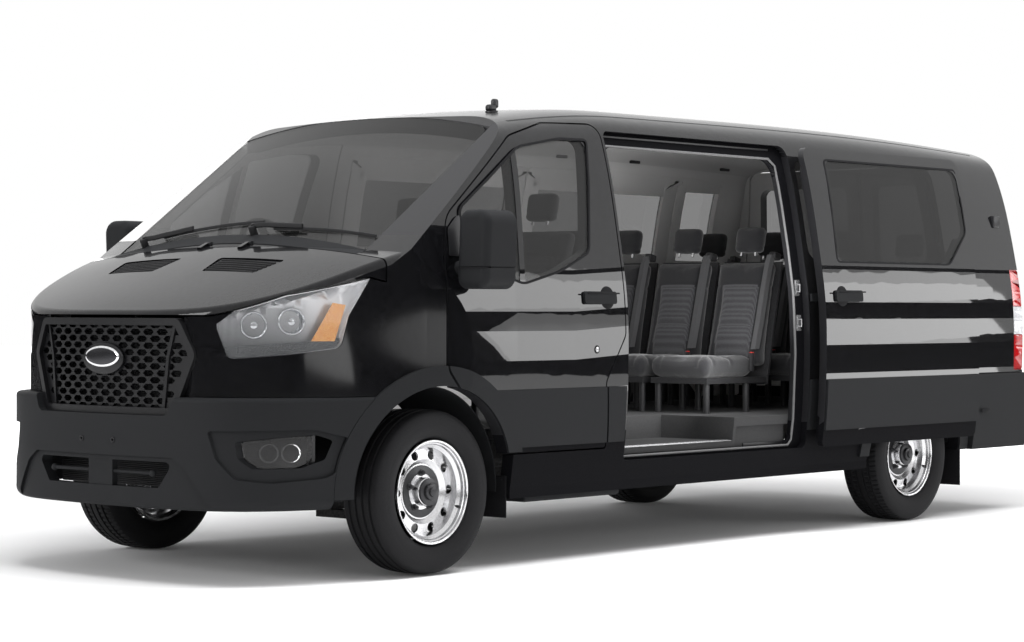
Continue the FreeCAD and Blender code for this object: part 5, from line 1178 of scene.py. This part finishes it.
def cut_tread(tyre, centre_x, centre_y, centre_z):
    """Presses every other strip of the tread's shoulders and ribs inward, as sipes."""
    for face in tyre.data.polygons:
        middle = face.center
        across = middle.y - centre_y
        out = hypot(middle.x - centre_x, middle.z - centre_z)
        turn = atan2(middle.z - centre_z, middle.x - centre_x) / (2 * pi) * tread_block_count * 2
        shoulder = 0.066 < abs(across) < 0.102 and out > 0.3425
        rib = 0.026 < abs(across) < 0.052 and out > 0.350
        face.select = (shoulder or rib) and int(turn + (1000.5 if rib else 1000)) % 2 == 0
    bpy.context.view_layer.objects.active = tyre
    bpy.ops.object.mode_set(mode="EDIT")
    bpy.ops.mesh.select_mode(type="FACE")
    bpy.ops.mesh.inset(thickness=0.0035)
    bpy.ops.transform.shrink_fatten(value=-0.0045)
    bpy.ops.mesh.select_all(action="DESELECT")
    bpy.ops.object.mode_set(mode="OBJECT")
    return tyre


axles = (("front", 1.968, 1.732), ("rear", -1.782, 1.743))
axle_z = 0.353
for end, axle_x, track in axles:
    for side, side_name in sides:
        tag = "%s_%s" % (end, side_name)
        centre = (axle_x, side * track / 2, axle_z)
        tyre = cut_tread(turned_tyre(*centre), *centre)
        fitted(tyre, "treaded_tyre_" + tag, rubber, "wheel_" + tag, 35.0)
        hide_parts("tyre_" + tag)

# Wheels
# Pressed steel discs in a bright silver finish, with five nuts on studs round a
# dark hub cap, and a valve through the rim.
steel = mottled("silver_steel", 0.24, 200.0, 0.04, (0.60, 0.60, 0.61), (0.72, 0.72, 0.73), Metallic=1.0)
hub_grey = mottled("hub_cap_grey", 0.30, 400.0, 0.1,
    (0.028, 0.028, 0.030), (0.050, 0.050, 0.053), Metallic=0.6)
for end, axle_x, track in axles:
    for side, side_name in sides:
        tag = "%s_%s" % (end, side_name)
        rim, wheel = "rim_" + tag, "wheel_" + tag
        out, inward = (0, side, 0), (0, -side, 0)
        coat(rim, steel)
        low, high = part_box(rim)
        hub, facing = skin_point(rim, (axle_x + 0.045, side * 2.0, axle_z), inward)
        plate_seat, facing = skin_point(rim, (axle_x + 0.105, side * 2.0, axle_z), inward)
        parts = [disc((axle_x, y, axle_z), out, radius, depth, edge, vertices)
                 for y, radius, depth, edge, vertices in (
                     (plate_seat.y, 0.112, 0.008, 0.003, 48), (hub.y + side * 0.002, 0.058, 0.012, 0.003, 40),
                     (hub.y + side * 0.012, 0.036, 0.022, 0.006, 40), (hub.y + side * 0.026, 0.020, 0.010, 0.003, 32))]
        fitted(joined(parts), "hub_cap_" + tag, hub_grey, wheel)
        nuts = []
        for number in range(5):
            turn = 2 * pi * number / 5 + 0.3
            x, z = axle_x + 0.080 * cos(turn), axle_z + 0.080 * sin(turn)
            seat, facing = skin_point(rim, (x, side * 2.0, z), inward)
            for reach, radius, depth, edge, vertices in (
                    (0.002, 0.015, 0.006, 0.001, 24), (0.010, 0.0105, 0.018, 0.002, 6),
                    (0.020, 0.006, 0.008, 0.001, 12)):
                nuts.append(disc((x, seat.y + side * reach, z), out, radius, depth, edge, vertices))
        fitted(joined(nuts), "wheel_nuts_" + tag, hub_grey, wheel, 30.0)
        lip_y = side * (abs(max(low.y, high.y, key=abs)) - 0.004)
        fitted(ring_of((axle_x, lip_y, axle_z), (0, 1, 0), 0.2165, 0.0045), "rim_lip_" + tag, chrome, wheel)
        x, z = axle_x - 0.178, axle_z - 0.07
        seat, facing = skin_point(rim, (x, side * 2.0, z), inward)
        valve = rod([(x, seat.y, z), (x, seat.y + side * 0.022, z)], 0.004)
        fitted(valve, "valve_" + tag, rubber, wheel)

# Rear
# The rear doors meet under a black seal. A lamp bar with two number-plate lamps
# stands over a blank plate, with a lever handle beside it, and each window has
# a rubber seal. A black hinge cover caps the upper hinge at each corner.
plate_white = mottled("blank_plate", 0.4, 90.0, 0.03, (0.50, 0.50, 0.49), (0.58, 0.58, 0.57))


def tail_x(z):
    """How far back the tail stands at a height."""
    heights = [(0.20, -2.868), (0.80, -2.872), (1.20, -2.870), (1.50, -2.858), (1.80, -2.835), (1.99, -2.802)]
    return read_off(heights, z)


for side, side_name in sides:
    door = "rear_door_" + side_name
    outline = [(side * 0.080, 1.330), (side * 0.745, 1.330), (side * 0.722, 1.860), (side * 0.080, 1.860)]
    seal = stood(cut_panel(outline, 0.05, 4), "front", -2.8)
    ringed(seal, 0.012)
    sliced(seal, (0, 0, 1), 1.33, 1.86, 0.05)
    for corner in seal.data.vertices:
        start = Vector((-3.2, corner.co.y, corner.co.z))
        place, facing = skin_point(door, start, (1, 0, 0))
        corner.co.x = place.x - 0.0006 if place.x > -3.0 else tail_x(corner.co.z)
    bpy.context.view_layer.objects.active = seal
    thick(seal, 0.0024)
    fitted(seal, "rear_window_seal_" + side_name, seal_black, door)
    outline = [(side * 0.070, 0.700), (side * 0.760, 0.700), (side * 0.760, 1.050), (side * 0.070, 1.050)]
    low_panel = stood(cut_panel(outline, 0.04, 4), "front", tail_x(0.85))
    ringed(low_panel, 0.010)
    sliced(low_panel, (0, 0, 1), 0.70, 1.05, 0.07)
    for corner in low_panel.data.vertices:
        place, facing = skin_point(door, (-3.2, corner.co.y, corner.co.z), (1, 0, 0))
        corner.co.x = place.x - 0.0004
    bpy.context.view_layer.objects.active = low_panel
    thick(low_panel, 0.0018)
    fitted(low_panel, "rear_door_swage_" + side_name, paint, door)
    lamp = block((tail_x(1.95) - 0.014, side * 0.300 - 0.060, 1.905),
                 (tail_x(1.90) + 0.004, side * 0.300 + 0.060, 1.930), 0.004)
    fitted(lamp, "high_stop_lamp_" + side_name, tail_red, door)
handle_x = tail_x(1.12)
handle = [block((handle_x - 0.012, 0.060, 1.085), (handle_x + 0.002, 0.235, 1.155), 0.006, 3),
          block((handle_x - 0.024, 0.072, 1.104), (handle_x - 0.010, 0.222, 1.134), 0.006, 3)]
fitted(joined(handle), "rear_door_handle", satin_black, "rear_door_left")
lock = disc((handle_x - 0.004, 0.255, 1.120), (-1, 0, 0), 0.011, 0.008, 0.002, 24)
fitted(lock, "rear_door_lock", trim_bright, "rear_door_left")
bar = block((handle_x - 0.016, 0.300, 1.150), (handle_x + 0.002, 0.740, 1.195), 0.006, 3)
fitted(bar, "plate_lamp_bar", plastic, "rear_door_left")
lamps = [block((handle_x - 0.013, y - 0.025, 1.146), (handle_x - 0.003, y + 0.025, 1.151), 0.002)
         for y in (0.40, 0.64)]
fitted(joined(lamps), "plate_lamps", tail_white, "rear_door_left")
plate = block((handle_x - 0.008, 0.365, 1.000), (handle_x - 0.001, 0.675, 1.135), 0.003, 2)
dished(plate, lambda face: face.normal.x < -0.95, 0.006, (0.0012, 0.0, 0.0))
fitted(plate, "blank_number_plate", plate_white, "rear_door_left")
meeting = rod([(tail_x(z) + 0.012, 0.0, z) for z in (0.66, 0.9, 1.2, 1.5, 1.8, 1.93)], 0.0030)
fitted(meeting, "rear_meeting_seal", seal_black, "body_shell")
foot_seal = block((-2.742, -0.845, 0.602), (-2.734, 0.845, 0.664), 0.003)
fitted(foot_seal, "rear_foot_seal", seal_black, "body_shell")
for side, side_name in sides:
    cover = block((-2.730, side * 0.944 - 0.016, 1.588), (-2.662, side * 0.944 + 0.020, 1.655), 0.008, 3)
    fitted(cover, "hinge_cover_" + side_name, satin_black, "body_shell")
    slot_face = block((-2.460, side * 1.0615 - 0.002, 0.560), (-2.370, side * 1.0615 + 0.002, 0.580), 0.0015)
    fitted(slot_face, "rear_bumper_slot_" + side_name, seal_black, "body_shell")
step_treads = []
for number in range(4):
    rear_x = -2.980 + 0.018 * number
    step_treads.append(block((rear_x, -0.700, 0.5875), (rear_x + 0.008, 0.700, 0.5905), 0.001))
fitted(joined(step_treads), "rear_step_treads", seal_black, "body_shell")

# Sills and mudflaps
# A pressed lip runs along each sill with a step box bolted under it, and rubber
# flaps hang behind the wheels on flat brackets.
for side, side_name in sides:
    step = block((0.625, side * 0.800 - 0.100, 0.268), (1.300, side * 0.800 + 0.100, 0.306), 0.010, 3)
    fitted(step, "under_step_" + side_name, plastic, "body_shell")
    lip = [block((-1.240, side * 0.930 - 0.045, 0.318), (1.400, side * 0.930 + 0.045, 0.338), 0.007, 3),
           block((-1.200, side * 0.900 - 0.040, 0.300), (1.360, side * 0.900 + 0.040, 0.320), 0.006, 3)]
    fitted(joined(lip), "sill_lip_" + side_name, satin_black, "body_shell")
    for end, x in (("front", 1.505), ("rear", -2.262)):
        low = 0.165 if end == "rear" else 0.215
        width = 0.120 if end == "rear" else 0.100
        flap = block((x - 0.005, side * 0.868 - width, low), (x + 0.003, side * 0.868 + width, 0.400), 0.003)
        bracket = block((x + 0.002, side * 0.868 - width * 0.8, 0.375),
                        (x + 0.007, side * 0.868 + width * 0.8, 0.392), 0.001)
        fitted(joined([flap, bracket]), "mudflap_%s_%s" % (end, side_name), seal_black, "body_shell")

# Running gear
# Frame rails, engine, axles, springs and exhaust in chassis black, a little
# mottled as castings and pressings are.
chassis_black = mottled("chassis_black", 0.6, 80.0, 0.3,
    (0.014, 0.014, 0.015), (0.035, 0.034, 0.033), Specular_IOR_Level=0.2)
for name in ["chassis_rails", "engine", "rear_axle", "front_suspension", "underbody", "knuckle_left",
             "knuckle_right", "rear_door_hinges"]:
    coat(name, chassis_black)
